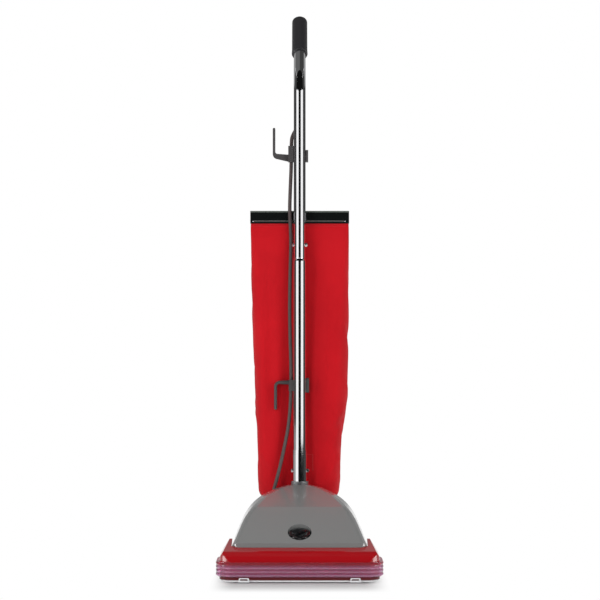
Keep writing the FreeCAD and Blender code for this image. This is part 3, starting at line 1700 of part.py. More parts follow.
def lead_tail_points():
    """The lead's last stretch, from the handle's foot to the gland on the rear deck."""
    return [
        (-53, tube_y + 9, 175),
        (-60.5, tube_y + 9, 147.5),
        (-74, tube_y + 4, 122),
        (gland_x, tube_y, 100),
        (gland_x, tube_y, deck_z + gland_height - 4),
    ]


def route_radii(points, name):
    """One radius for each bend of a cord, as large as its two runs allow."""
    radii = [0]
    last = len(points) - 1
    for i in range(1, last):
        before = Vector(*points[i]) - Vector(*points[i - 1])
        after = Vector(*points[i + 1]) - Vector(*points[i])
        half = before.getAngle(after) / 2
        # an end run has no second bend to share its length with
        room = min(before.Length * (0.9 if i == 1 else 0.45), after.Length * (0.9 if i == last - 1 else 0.45))
        radii.append(room / math.tan(half))
    radii.append(0)
    print(name, "bend radii", [round(r) for r in radii[1:-1]])
    return radii


def cord(points, name):
    """A round cord along the points."""
    wire = rounded_path(points, route_radii(points, name), closed=False)
    solid = rod_along(wire, lead_radius)
    expected = math.pi * lead_radius**2 * wire.Length
    print(name, "length", round(wire.Length, 1), "volume share", round(solid.Volume / expected, 4))
    return solid


def motor_lead():
    """The lead's stretch that the handle carries."""
    return cord(lead_points(), "motor lead")


def motor_lead_tail():
    """The lead's stretch that bends as the handle tips back."""
    return cord(lead_tail_points(), "motor lead tail")


def lead_gland():
    """Strain relief on the rear deck, where the lead enters the base."""
    foot = upright(10, gland_x, tube_y, deck_z, deck_z + 4)
    stem = upright(5.4, gland_x, tube_y, deck_z - 12, deck_z + 1)
    cone = Part.makeCone(8, 6.2, gland_height - 4, Vector(gland_x, tube_y, deck_z + 4))
    body = joined([foot, stem, cone])
    return body.cut(upright(lead_radius, gland_x, tube_y, deck_z - 20, deck_z + 30))


nodes = {
    "base_housing": base_housing(),
    "furniture_guard": furniture_guard(),
    "bottom_plate": bottom_plate(),
    "plate_latch_left": plate_latch(-1),
    "plate_latch_right": plate_latch(1),
    "motor_hood": motor_hood(),
    "housing_screws": housing_screws(),
    "brush_roll": brush_roll(),
    "brush_bristles": brush_bristles(),
    "brush_end_caps": brush_end_caps(),
    "drive_belt": drive_belt(),
    "fan_cover": fan_cover(),
    "cover_screws": cover_screws(),
    "motor_bearings": motor_bearings(),
    "motor_frame": motor_frame(),
    "motor_stator": motor_stator(),
    "field_coils": field_coils(),
    "carbon_brushes": carbon_brushes(),
    "motor_shaft": motor_shaft(),
    "armature_core": armature_core(),
    "commutator": commutator(),
    "suction_fan": suction_fan(),
    "drive_pulley": drive_pulley(),
    "rear_wheel_left": rear_wheel(-1),
    "rear_wheel_right": rear_wheel(1),
    "rear_tyre_left": rear_tyre(-1),
    "rear_tyre_right": rear_tyre(1),
    "rear_axles": rear_axles(),
    "wheel_carriage": wheel_carriage(),
    "front_wheel_left": front_wheel(-1),
    "front_wheel_right": front_wheel(1),
    "height_knob": height_knob(),
    "handle_bail": handle_bail(),
    "pivot_pins": pivot_pins(),
    "handle_socket": handle_socket(),
    "socket_bolt": cross_bolt(socket_bolt_z, socket_radius),
    "lower_tube": lower_tube(),
    "upper_tube": upper_tube(),
    "tube_bolt": cross_bolt(tube_bolt_z, upper_tube_radius),
    "hand_grip": hand_grip(),
    "switch_bezel": switch_bezel(),
    "switch_rocker": switch_rocker(),
    "cord_inlet": cord_inlet(),
    "lead_grommet": lead_grommet(),
    "upper_hook": upper_hook(),
    "lower_hook_bracket": lower_hook_bracket(),
    "lower_hook": lower_hook(),
    "hook_screws": hook_screws(),
    "bag_hanger": bag_hanger(),
    "bag_clamp_bar": bag_clamp_bar(),
    "dust_bag": dust_bag(),
    "bag_throat": bag_throat(),
    "exhaust_duct": exhaust_duct(),
    "bag_collar": bag_collar(),
    "release_pedal": release_pedal(),
    "pedal_pin": pedal_pin(),
    "pedal_spring": pedal_spring(),
    "motor_lead": motor_lead(),
    "motor_lead_tail": motor_lead_tail(),
    "lead_gland": lead_gland(),
}

whole = Part.makeCompound(list(nodes.values()))
for name, shape in nodes.items():
    shape.exportStep(f"parts/{name}.step")
extent = whole.BoundBox
print(len(nodes), "nodes; X", round(extent.XMin, 2), round(extent.XMax, 2))
print("Y", round(extent.YMin, 2), round(extent.YMax, 2))
print("Z", round(extent.ZMin, 2), round(extent.ZMax, 2))
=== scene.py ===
# %% [markdown]
# # An upright vacuum cleaner, dressed in Blender
# The machine's hard parts come ready made from CAD, in metres and in their places. This lesson
# gives every part the surface it has on the real machine, and makes by hand what CAD left plain:
# the hanging cloth bag, the motor lead, the brush's tufts and the small trim.
# Each step first says what the piece is on the real object, and why it is made the way it is.

import math
import random

import bpy
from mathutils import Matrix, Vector, noise


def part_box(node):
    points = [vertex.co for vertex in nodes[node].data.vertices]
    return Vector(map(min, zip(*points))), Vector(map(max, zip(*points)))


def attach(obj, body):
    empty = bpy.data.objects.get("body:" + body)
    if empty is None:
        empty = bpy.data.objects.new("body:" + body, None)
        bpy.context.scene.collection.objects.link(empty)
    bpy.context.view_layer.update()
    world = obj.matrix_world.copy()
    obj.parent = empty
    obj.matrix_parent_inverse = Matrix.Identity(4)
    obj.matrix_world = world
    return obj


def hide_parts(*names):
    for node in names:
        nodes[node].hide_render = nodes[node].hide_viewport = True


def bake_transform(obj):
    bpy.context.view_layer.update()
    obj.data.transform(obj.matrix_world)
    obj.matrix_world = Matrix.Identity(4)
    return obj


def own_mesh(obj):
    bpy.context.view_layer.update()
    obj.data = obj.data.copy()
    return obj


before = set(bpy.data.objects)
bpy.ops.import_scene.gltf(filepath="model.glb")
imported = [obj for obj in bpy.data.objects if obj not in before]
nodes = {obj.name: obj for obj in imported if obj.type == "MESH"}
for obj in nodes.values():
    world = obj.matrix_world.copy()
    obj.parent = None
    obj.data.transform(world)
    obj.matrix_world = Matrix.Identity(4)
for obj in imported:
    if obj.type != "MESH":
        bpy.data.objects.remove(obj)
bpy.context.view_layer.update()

# %% [markdown]
# ## The places that the other steps measure from
# The handle's tube stands upright a little behind the middle of the machine. Many pieces are
# placed from it, so its place gets a name once, and so do the face of the bag's clamp bar, the
# middles of the duct and the brush, and the ends of the bag.

# %% Named places, in metres
tube_y = 0.0753
bar_front = tube_y + 0.0158
brush_y = tube_y - 0.2635
brush_z = 0.029
bag_top = 0.7465
bag_foot = 0.200
throat_foot = 0.0925
print("tube axis at Y", tube_y)

# %% [markdown]
# ## Camera
# The photograph looks straight at the nozzle from a few metres away, with the eye about halfway
# up the machine. A long lens from the same distance gives the same gentle perspective, so the
# nozzle, which is nearer, looks only a little larger than the bag behind it.

# %% Set up the camera
eye_distance = 4.5
eye_height = 0.578
camera_data = bpy.data.cameras.new("camera")
camera_data.sensor_width = 36.0
camera_data.lens = 123.4
camera = bpy.data.objects.new("camera", camera_data)
camera.location = (0.0007, tube_y - eye_distance, eye_height)
camera.rotation_euler = (math.radians(90), 0, 0)
bpy.context.scene.collection.objects.link(camera)
bpy.context.scene.camera = camera
bpy.context.scene.view_settings.view_transform = "Standard"
print("camera at", tuple(camera.location))

# %% [markdown]
# ## Helpers for modelling by hand
# An operator acts on whatever is selected, so every step starts from an empty selection and one
# active object. Pieces are shaped at their place, then the place is written into the mesh, so
# that each object sits at the origin as the CAD parts do.


# %% Selection and finishing helpers
def select_only(piece):
    """Leaves one object selected and active, in object mode."""
    if bpy.context.object and bpy.context.object.mode != "OBJECT":
        bpy.ops.object.mode_set(mode="OBJECT")
    bpy.ops.object.select_all(action="DESELECT")
    piece.select_set(True)
    bpy.context.view_layer.objects.active = piece


def start_from(add_primitive, name, **values):
    """Adds a primitive under the piece's own name."""
    bpy.ops.object.select_all(action="DESELECT")
    add_primitive(**values)
    piece = bpy.context.object
    piece.name = name
    piece.data.name = name
    select_only(piece)
    bpy.ops.object.transform_apply(location=True, rotation=True, scale=True)
    return piece


def add_modifier(piece, kind, **values):
    """Adds a modifier and applies it at once."""
    select_only(piece)
    modifier = piece.modifiers.new(kind.lower(), kind)
    for key, value in values.items():
        setattr(modifier, key, value)
    bpy.ops.object.modifier_apply(modifier=modifier.name)


def smooth(piece, angle=35):
    """Shades smooth across every edge that is flatter than the angle."""
    select_only(piece)
    bpy.ops.object.shade_smooth_by_angle(angle=math.radians(angle))
    return piece


def add_object(name, data):
    """A new object in the scene, made of the given data."""
    piece = bpy.data.objects.new(name, data)
    bpy.context.scene.collection.objects.link(piece)
    return piece


def make_solid_mesh(name, points, faces):
    """A mesh object from points and faces, with its normals made to agree."""
    mesh = bpy.data.meshes.new(name)
    mesh.from_pydata(points, [], faces)
    piece = add_object(name, mesh)
    select_only(piece)
    bpy.ops.object.mode_set(mode="EDIT")
    bpy.ops.mesh.select_all(action="SELECT")
    bpy.ops.mesh.normals_make_consistent(inside=False)
    bpy.ops.object.mode_set(mode="OBJECT")
    return piece


def rod_faces(start, rings, sides):
    """The faces of a closed rod whose points lie ring by ring, from the point numbered start."""
    faces = []
    for first in range(start, start + (rings - 1) * sides, sides):
        for k in range(sides):
            a = first + k
            b = first + (k + 1) % sides
            faces.append((a, b, b + sides, a + sides))
    ends = (start, start + (rings - 1) * sides)
    return faces + [tuple(range(end, end + sides)) for end in ends]


def curve_mesh(name, kind, places, radius, rounding):
    """A mesh along a curve through places: a round rod, or a bare line where the radius is 0."""
    data = bpy.data.curves.new(name, "CURVE")
    data.dimensions = "3D"
    data.resolution_u = 8
    line = data.splines.new(kind)
    line.points.add(len(places) - 1)
    for point, place in zip(line.points, places):
        point.co = (*place, 1)
    line.order_u = 3
    line.use_endpoint_u = True
    data.bevel_depth = radius
    data.bevel_resolution = rounding
    data.use_fill_caps = radius > 0
    curve = add_object(name, data)
    bpy.context.view_layer.update()
    seen = curve.evaluated_get(bpy.context.evaluated_depsgraph_get())
    mesh = bpy.data.meshes.new_from_object(seen)
    bpy.data.objects.remove(curve)
    return mesh


def dress(piece, material):
    """Gives a piece its one material."""
    piece.data.materials.clear()
    piece.data.materials.append(material)
    return piece


print("helpers for pieces ready")

# %% [markdown]
# ## Short names for shader nodes
# A shader is a chain of small steps. Each helper adds one step and hands back what comes out of
# it, so a finish reads from top to bottom: an input takes a value or what an earlier step gave.


# %% Helpers for shader nodes
def feed(tree, node, inputs):
    """Gives each named input of a node a value, or joins it to what another node gives."""
    for label, value in inputs.items():
        if isinstance(value, bpy.types.NodeSocket):
            tree.links.new(value, node.inputs[label])
        else:
            node.inputs[label].default_value = value


def add_node(tree, kind, inputs=None, **settings):
    """Adds a node and returns its outputs."""
    node = tree.nodes.new("ShaderNode" + kind)
    for key, value in settings.items():
        setattr(node, key, value)
    feed(tree, node, inputs or {})
    return node.outputs


def calculate(tree, operation, *values, clamp=False):
    """The result of a math node."""
    return add_node(tree, "Math", dict(enumerate(values)), operation=operation, use_clamp=clamp)[0]


def ramp(tree, value, start, end, low=0.0, high=1.0, **settings):
    """Takes a value from one range to another and holds it at the ends."""
    ranges = {"Value": value, "From Min": start, "From Max": end, "To Min": low, "To Max": high}
    return add_node(tree, "MapRange", ranges, **settings)["Result"]


def use_group(tree, group, **values):
    """The result of a shared group of nodes."""
    return add_node(tree, "Group", values, node_tree=group)[0]


def mix_colours(tree, factor, first, second):
    """A colour between two colours."""
    colours = {"Factor": factor, "A": first, "B": second}
    return add_node(tree, "Mix", colours, data_type="RGBA")["Result"]


def bump_normal(tree, height, strength, depth):
    """A normal that follows a height, with the bump's strength and its depth in metres."""
    return add_node(tree, "Bump", {"Height": height, "Strength": strength, "Distance": depth})["Normal"]


def place_axes(tree):
    """The X, Y and Z of a point of the piece."""
    return add_node(tree, "SeparateXYZ", {"Vector": add_node(tree, "TexCoord")["Object"]})


def height_mask(tree, start, end):
    """A value of 0 at one height and 1 at the other, held beyond both."""
    return ramp(tree, place_axes(tree)["Z"], start, end)


def new_material(name):
    """A material, its tree of nodes and its main shader."""
    material = bpy.data.materials.new(name)
    material.use_nodes = True
    return material, material.node_tree, material.node_tree.nodes["Principled BSDF"]


print("helpers for shader nodes ready")

# %% [markdown]
# ## Shared effects
# Moulded and plated surfaces share a few small faults: the colour drifts a little over the
# piece, the polish is uneven where hands and cloths have wiped it, and the skin has a fine
# grain. Each effect is one node group with its own inputs, placed in every material that
# needs it, so that all of them can be tuned in one place.


# %% Build the shared node groups
def new_group(name, inputs, output):
    """An empty shader group with number inputs and one number output, and what its inputs give."""
    group = bpy.data.node_groups.new(name, "ShaderNodeTree")
    for label, value in inputs.items():
        socket = group.interface.new_socket(label, in_out="INPUT", socket_type="NodeSocketFloat")
        socket.default_value = value
    group.interface.new_socket(output, in_out="OUTPUT", socket_type="NodeSocketFloat")
    return group, group.nodes.new("NodeGroupInput").outputs


def close_group(group, result):
    """Leads the result out of a group."""
    group.links.new(result, group.nodes.new("NodeGroupOutput").inputs[0])
    return group


def build_uneven():
    """Noise from 0 to 1 over Object coordinates, spread by its contrast."""
    group, given = new_group("uneven", {"Scale": 8.0, "Contrast": 1.0}, "Fac")
    place = add_node(group, "TexCoord")["Object"]
    cloud = add_node(group, "TexNoise", {"Vector": place, "Scale": given["Scale"], "Detail": 4})["Fac"]
    centred = calculate(group, "SUBTRACT", cloud, 0.5)
    spread = calculate(group, "MULTIPLY_ADD", centred, given["Contrast"], 0.5, clamp=True)
    return close_group(group, spread)


def build_grain():
    """Height of a fine moulded skin: small cells broken up by noise."""
    group, given = new_group("grain", {"Scale": 900.0}, "Height")
    shared = {"Vector": add_node(group, "TexCoord")["Object"], "Scale": given["Scale"]}
    cells = add_node(group, "TexVoronoi", shared)["Distance"]
    cloud = add_node(group, "TexNoise", shared)["Fac"]
    return close_group(group, calculate(group, "MULTIPLY", cells, cloud))


def build_edge_wear():
    """Mask of the edges that rub first: where a rounded normal leaves the flat one."""
    group, given = new_group("edge_wear", {"Radius": 0.0012, "Amount": 0.5}, "Mask")
    rounded = add_node(group, "Bevel", {"Radius": given["Radius"]}, samples=4)["Normal"]
    flat = add_node(group, "NewGeometry")["Normal"]
    alike = add_node(group, "VectorMath", {0: rounded, 1: flat}, operation="DOT_PRODUCT")["Value"]
    away = ramp(group, alike, 0.97, 0.75)
    place = add_node(group, "TexCoord")["Object"]
    patches = add_node(group, "TexNoise", {"Vector": place, "Scale": 60})["Fac"]
    broken = calculate(group, "MULTIPLY", away, patches)
    return close_group(group, calculate(group, "MULTIPLY", broken, given["Amount"], clamp=True))


uneven = build_uneven()
grain = build_grain()
edge_wear = build_edge_wear()
print("shared effects:", uneven.name, grain.name, edge_wear.name)

# %% [markdown]
# ## One way to lay a hard finish
# Plastic, plate and paint differ in colour, polish and skin, but all are laid the same way: two
# near colours mixed by the drifting noise, a polish that wanders between two values, a fine
# bump, and lighter edges. The helper joins these, and each material keeps its own shader.

# %% Helper for hard finishes
colour_drift = 0.35
skin_depth = 0.0002


def hard_finish(name, colour, worn, polish, skin=(900, 0.0), drift=(6, 0.8), wear=0.3, **shader):
    """A material for plastic, metal or rubber.

    worn is the second colour of the drift and the edges, polish the lowest and highest
    roughness, skin the grain's scale and strength, drift the noise's scale and contrast.
    """
    material, tree, principled = new_material(name)
    for label, value in shader.items():
        principled.inputs[label.replace("_", " ").title().replace("Ior", "IOR")].default_value = value
    clouds = use_group(tree, uneven, Scale=drift[0], Contrast=drift[1])
    rubbed = use_group(tree, edge_wear, Amount=wear)
    share = calculate(tree, "MULTIPLY_ADD", clouds, colour_drift, rubbed, clamp=True)
    tint = mix_colours(tree, share, (*colour, 1), (*worn, 1))
    feed(tree, principled, {"Base Color": tint, "Roughness": ramp(tree, clouds, 0.0, 1.0, *polish)})
    if skin[1]:
        texture = use_group(tree, grain, Scale=skin[0])
        feed(tree, principled, {"Normal": bump_normal(tree, texture, skin[1], skin_depth)})
    return material


def paint(material, *names):
    """Puts a material on CAD parts, in every slot that they have."""
    for name in names:
        slots = nodes[name].material_slots
        if not slots:
            nodes[name].data.materials.append(material)
        for held in slots:
            held.material = material
    print(material.name, "on", *names)


print("hard finish ready")

# %% [markdown]
# ## Red housing
# The nozzle and the body are one moulding in a strong, slightly blue red. The plastic is dyed
# through, so the colour hardly drifts, and the mould was polished: low roughness with a thin
# clear coat gives the soft bright line along the nozzle's brow. The last few millimetres above
# the floor carry painted shade, darker and with less coat, for the shadow that falls there.


# %% Red plastic
def paint_shade_below(material, top, bottom, colour, coat):
    """Paints shade below a height: darkens the finish and lets its coat fade to a lower value there."""
    tree = material.node_tree
    principled = tree.nodes["Principled BSDF"]
    unshaded = principled.inputs["Base Color"].links[0].from_socket
    unshaded_coat = principled.inputs["Coat Weight"].default_value
    below = height_mask(tree, top, bottom)
    coated = ramp(tree, below, 0.0, 1.0, unshaded_coat, coat)
    painted_shade_colour = mix_colours(tree, below, unshaded, (*colour, 1))
    feed(tree, principled, {"Base Color": painted_shade_colour, "Coat Weight": coated})


red_plastic = hard_finish(
    "red_plastic", (0.32, 0.0035, 0.007), (0.38, 0.008, 0.012), (0.12, 0.18), (1400, 0.02), wear=0.2,
    specular_ior_level=0.2, coat_weight=0.45, coat_roughness=0.05,
)
# painted shade: the bottom of the nozzle is darkened and dulled for the shadow next to the floor
paint_shade_below(red_plastic, 0.0165, 0.0135, (0.10, 0.008, 0.012), 0.05)
paint(red_plastic, "base_housing")

# %% [markdown]
# ## Grey hood
# The motor's hood is a mid grey plastic with a high gloss, which shows the red bag and the
# bright tube in its top. A coat over a smooth base gives both the colour and the reflection.

# %% Hood plastic
paint(
    hard_finish("hood_plastic", (0.19, 0.192, 0.19), (0.215, 0.217, 0.215), (0.16, 0.24), (1600, 0.04),
                wear=0.25, coat_weight=0.8, coat_roughness=0.13),
    "motor_hood",
)

# %% [markdown]
# ## Black plastics and rubbers
# The knob and the clamp bar are a shiny black, while the grip, hooks, pedal and duct come from a
# textured mould and look dark grey. Tyres, belt and cable fittings are duller still, with a
# coarser skin.

# %% Black finishes
paint(
    hard_finish("knob_black", (0.006, 0.006, 0.007), (0.016, 0.016, 0.018), (0.08, 0.15), coat_weight=1.0),
    "height_knob", "switch_rocker",
)
paint(
    hard_finish("bar_black", (0.004, 0.005, 0.005), (0.014, 0.017, 0.016), (0.1, 0.2),
                specular_ior_level=0.3),
    "bag_clamp_bar",
)
paint(
    hard_finish("grip_vinyl", (0.020, 0.019, 0.022), (0.032, 0.031, 0.035), (0.42, 0.58), (700, 0.35)),
    "hand_grip",
)
paint(
    hard_finish("hook_plastic", (0.056, 0.052, 0.053), (0.09, 0.085, 0.086), (0.38, 0.55), (900, 0.25)),
    "upper_hook", "lower_hook_bracket", "lower_hook",
)
paint(
    hard_finish("trim_black", (0.02, 0.02, 0.022), (0.05, 0.05, 0.054), (0.3, 0.45), (1000, 0.25)),
    "exhaust_duct", "release_pedal", "wheel_carriage", "brush_end_caps", "switch_bezel",
    "rear_wheel_left", "rear_wheel_right", "front_wheel_left", "front_wheel_right",
)
paint(
    hard_finish("tyre_rubber", (0.016, 0.016, 0.017), (0.05, 0.048, 0.046), (0.6, 0.8), (500, 0.5)),
    "rear_tyre_left", "rear_tyre_right", "cord_inlet", "lead_grommet", "lead_gland",
)
paint(
    hard_finish("belt_rubber", (0.012, 0.012, 0.013), (0.03, 0.03, 0.032), (0.5, 0.65), (800, 0.4)),
    "drive_belt", "carbon_brushes",
)

# %% [markdown]
# ## Plated and bare metal
# The handle's tubes are bright nickel-chrome plate: a nearly clean mirror with faint smears. The
# screws and bolts are the same plate with more scratches. The bottom plate has a pale dull coat,
# the hanger and the bag's clamp ring are zinc-coated steel, and the yoke is a tumbled casting.

# %% Metals
bolt_plate = hard_finish(
    "bolt_plate", (0.72, 0.73, 0.75), (0.62, 0.63, 0.65), (0.32, 0.45),
    drift=(90, 1.2), wear=0.2, metallic=1.0,
)
zinc_steel = hard_finish(
    "zinc_steel", (0.62, 0.63, 0.65), (0.74, 0.75, 0.76), (0.25, 0.42), (400, 0.1),
    drift=(40, 1.4), metallic=1.0,
)
tube_chrome = hard_finish(
    "tube_chrome", (0.92, 0.92, 0.93), (0.85, 0.86, 0.87), (0.04, 0.08),
    drift=(12, 1.2), wear=0.1, metallic=1.0,
)
paint(tube_chrome, "upper_tube", "lower_tube", "handle_socket")
paint(bolt_plate, "socket_bolt", "tube_bolt", "housing_screws", "hook_screws", "cover_screws",
      "pivot_pins", "rear_axles", "pedal_pin", "plate_latch_left", "plate_latch_right")
paint(zinc_steel, "bag_hanger", "bag_collar", "motor_shaft", "motor_bearings", "drive_pulley")
paint(
    hard_finish("white_plate", (0.76, 0.77, 0.78), (0.85, 0.85, 0.86), (0.3, 0.42), (600, 0.08), wear=0.2),
    "bottom_plate",
)
paint(
    hard_finish("cast_alloy", (0.45, 0.46, 0.47), (0.6, 0.61, 0.62), (0.38, 0.55), (350, 0.4), metallic=1.0),
    "handle_bail", "fan_cover", "suction_fan",
)
paint(
    hard_finish("dark_steel", (0.12, 0.12, 0.125), (0.2, 0.2, 0.21), (0.4, 0.6), (500, 0.2), metallic=0.9),
    "motor_frame", "motor_stator", "armature_core",
)
paint(
    hard_finish("coil_copper", (0.5, 0.19, 0.07), (0.62, 0.27, 0.12), (0.25, 0.4), (260, 0.5), metallic=0.9),
    "field_coils", "commutator",
)

# %% [markdown]
# ## Clear furniture guard
# The band round the nozzle is a soft see-through vinyl. It has gone a little milky, most of all
# where it is thick along its four ribs, and the red behind it shows through between them. Glass
# would be too clean, so the shader is mostly transmission over a pale tint that rises and falls
# with height. The paler tint along the ribs is partly that milkiness and partly a painted
# highlight, for the light lines that the ribs catch.


# %% Clear vinyl
def build_bands():
    """Mask of level bands over Object Z: 1 at each band's middle and 0 between them."""
    group, given = new_group("bands", {"First": 0.0156, "Pitch": 0.0076}, "Mask")
    offset = calculate(group, "SUBTRACT", place_axes(group)["Z"], given["First"])
    turns = calculate(group, "DIVIDE", offset, given["Pitch"])
    wave = calculate(group, "COSINE", calculate(group, "MULTIPLY", turns, 2 * math.pi))
    mask = calculate(group, "MULTIPLY_ADD", wave, 0.5, 0.5)
    return close_group(group, calculate(group, "POWER", mask, 2.0))


def clear_vinyl():
    """See-through vinyl: clear red at the top, milky violet below, with ribs paler as milk and as painted
    highlight.
    """
    material = hard_finish(
        "guard_vinyl", (0.60, 0.19, 0.36), (0.86, 0.58, 0.80), (0.10, 0.16), wear=0.0,
        transmission_weight=0.80, ior=1.34, coat_weight=0.25, coat_roughness=0.04,
    )
    tree = material.node_tree
    ribs_milk_and_highlight = next(node for node in tree.nodes if node.bl_idname == "ShaderNodeMix")
    # painted highlight, in part: the paler rib bands
    feed(tree, ribs_milk_and_highlight, {"Factor": use_group(tree, build_bands())})
    above = height_mask(tree, 0.0345, 0.0375)
    tint = mix_colours(tree, above, ribs_milk_and_highlight.outputs["Result"], (0.60, 0.08, 0.12, 1))
    feed(tree, tree.nodes["Principled BSDF"], {"Base Color": tint})
    return material


paint(clear_vinyl(), "furniture_guard")

# %% [markdown]
# ## Turned wood
# The brush roll is turned from beech and oiled, with growth rings that run along it. Wave noise
# stretched along the roll's axis gives the long grain.


# %% Turned beech
def beech_finish():
    """Long-grained pale wood for the brush roll."""
    material, tree, principled = new_material("turned_beech")
    place = add_node(tree, "TexCoord")["Object"]
    stretched = add_node(tree, "Mapping", {"Vector": place, "Scale": (0.06, 1, 1)})["Vector"]
    pattern = {"Vector": stretched, "Scale": 60, "Distortion": 5, "Detail": 3}
    rings = add_node(tree, "TexWave", pattern)["Fac"]
    tint = mix_colours(tree, rings, (0.42, 0.25, 0.12, 1), (0.62, 0.42, 0.24, 1))
    bump = bump_normal(tree, rings, 0.15, 0.0003)
    feed(tree, principled, {"Base Color": tint, "Roughness": 0.45, "Normal": bump})
    return material


paint(beech_finish(), "brush_roll")

# %% [markdown]
# ## Filaments of the brush
# A tuft is a pinch of some thirty nylon filaments, folded in half and stapled into the roll.
# They leave the hole together and spread towards their tips, and no two are cut quite alike.
# Each filament is a thin four-sided rod with one bend, and the random spread has a fixed seed.

# %% Tufts made of filaments
strands = 34
roll_radius = 0.0165
tuft_radius = 0.0015
strand_radius = 0.00016
belt_gap = 0.016
crossbar_x = 0.075
crossbar_gap = 0.006


def filament(points, faces, centre, out, lean, reach):
    """Adds one bent rod: centre is where it leaves the roll, lean its tip's offset sideways."""
    side = Vector((1, 0, 0))
    over = out.cross(side)
    start = len(points)
    for step, width in ((0.0, 1.0), (0.55, 1.0), (1.0, 0.8)):
        middle = centre + out * (reach * step) + lean * step**1.6
        for u, v in ((1, 0), (0, 1), (-1, 0), (0, -1)):
            points.append(middle + (side * u + over * v) * strand_radius * width)
    faces.extend(rod_faces(start, 3, 4))


def brush_filaments():
    """Two spiral rows of tufts, which leave room at the belt and over the plate's crossbars."""
    chance = random.Random(7)
    points = []
    faces = []
    tufts = 0
    for row in range(2):
        for i in range(-13, 14):
            x = (i * 10 + 5 * row) / 1000
            if abs(x) < belt_gap or abs(abs(x) - crossbar_x) < crossbar_gap:
                continue
            tufts += 1
            angle = math.radians(40 + 180 * row + x * 220)
            out = Vector((0, math.cos(angle), math.sin(angle)))
            over = Vector((0, -math.sin(angle), math.cos(angle)))
            foot = Vector((x, brush_y, brush_z)) + out * roll_radius
            for _ in range(strands):
                turn = chance.uniform(0, 2 * math.pi)
                spread = math.sqrt(chance.uniform(0, 1))
                aside = Vector((spread * math.cos(turn), 0, 0)) + over * (spread * math.sin(turn))
                lean = aside * chance.uniform(0.0004, 0.0012)
                reach = chance.uniform(0.0104, 0.0113)
                filament(points, faces, foot + aside * tuft_radius, out, lean, reach)
    print("tufts", tufts, "filaments", tufts * strands)
    return make_solid_mesh("brush_filaments", points, faces)


bristle_nylon = hard_finish("bristle_nylon", (0.02, 0.02, 0.022), (0.06, 0.06, 0.065), (0.35, 0.5))
filaments = dress(brush_filaments(), bristle_nylon)
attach(filaments, "brush")
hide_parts("brush_bristles")

# %% [markdown]
# ## Trim on the clamp bar
# The bar is a folded channel. Its top edge is rolled over into a lip, and a stiffening bead is
# pressed along it near the bottom, which ends in a small dimple on each side. The lip and the
# bead are a paler grey than the bar, as painted highlights for the light on their rounded edges,
# and the dimples are bright plate, as painted glints at the bead's ends.

# %% Lip and bead of the clamp bar
# painted highlights: the lip and bead greys stand for light on the rounded edges of a black bar
lip_highlight_grey = hard_finish("lip_highlight_grey", (0.075, 0.092, 0.078), (0.11, 0.125, 0.11), (0.5, 0.6), wear=0.2)
bead_highlight_grey = hard_finish("bead_highlight_grey", (0.15, 0.145, 0.135), (0.2, 0.19, 0.18), (0.4, 0.5), wear=0.2)
lip_height = 0.0034
bar_low, bar_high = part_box("bag_clamp_bar")
bar_lip = start_from(
    bpy.ops.mesh.primitive_cube_add, "bar_lip", size=1,
    location=((bar_low.x + bar_high.x) / 2, bar_low.y + 0.0002, bar_high.z - lip_height / 2),
    scale=(bar_high.x - bar_low.x, 0.0018, lip_height),
)
add_modifier(bar_lip, "BEVEL", width=0.0007, segments=3)
dress(smooth(bar_lip), lip_highlight_grey)
bead_z = 0.7514
bead_left, bead_right = -0.1019, 0.0999
bar_bead = start_from(
    bpy.ops.mesh.primitive_cylinder_add, "bar_bead", vertices=24, radius=0.0008,
    depth=bead_right - bead_left, rotation=(0, math.radians(90), 0),
    location=((bead_left + bead_right) / 2, bar_front - 0.0001, bead_z),
)
dress(smooth(bar_bead), bead_highlight_grey)
trims = [bar_lip, bar_bead]
# painted glints: bright plate dimples at the bead's ends
for side, x in (("left", bead_left), ("right", bead_right)):
    dimple = start_from(
        bpy.ops.mesh.primitive_uv_sphere_add, f"bead_glint_{side}", segments=24, ring_count=12, radius=0.0017,
        location=(x, bar_front, bead_z),
    )
    trims.append(dress(smooth(dimple), bolt_plate))
for trim in trims:
    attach(trim, "bag_clamp")
print("bar trim", [trim.name for trim in trims])

# %% [markdown]
# ## The motor lead
# A grey rubber cable comes out of the back of the upper tube, runs down through both hook
# brackets and bends away to a gland on the rear deck. Its route is a handful of points, and a
# NURBS curve through them gives the easy line of a stiff cable. The handle tips back, and the
# curve is made a mesh tube.

# %% Route of the lead
# X, how far behind the tube's axis, and Z
lead_places = [
    (0.0, 0.0050, 0.966),
    (0.0, 0.0280, 0.966),
    (-0.016, 0.0210, 0.940),
    (-0.0183, 0.0100, 0.924),
    (-0.0183, 0.0100, 0.872),
    (-0.0205, 0.0090, 0.823),
    (-0.0223, 0.0090, 0.770),
    (-0.0186, 0.0100, 0.712),
    (-0.0206, 0.0105, 0.650),
    (-0.0220, 0.0105, 0.570),
    (-0.0212, 0.0100, 0.505),
    (-0.0189, 0.0070, 0.440),
    (-0.0189, 0.0070, 0.368),
    (-0.0237, 0.0080, 0.304),
    (-0.0330, 0.0090, 0.258),
    (-0.0440, 0.0090, 0.208),
    (-0.0530, 0.0090, 0.175),
    (-0.0605, 0.0090, 0.1475),
    (-0.0740, 0.0040, 0.122),
    (-0.0790, 0.0000, 0.100),
    (-0.0790, 0.0000, 0.074),
]
lead_route = [(x, tube_y + behind, z) for x, behind, z in lead_places]
lead_line = curve_mesh("lead_line", "NURBS", lead_route, 0.0, 3)
motor_lead = add_object("motor_cable", curve_mesh("lead_tube", "NURBS", lead_route, 0.004, 3))
smooth(motor_lead, 60)
dress(motor_lead, hard_finish(
    "lead_rubber", (0.082, 0.060, 0.058), (0.11, 0.082, 0.079), (0.4, 0.55), (900, 0.2),
))
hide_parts("motor_lead", "motor_lead_tail")
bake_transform(motor_lead)
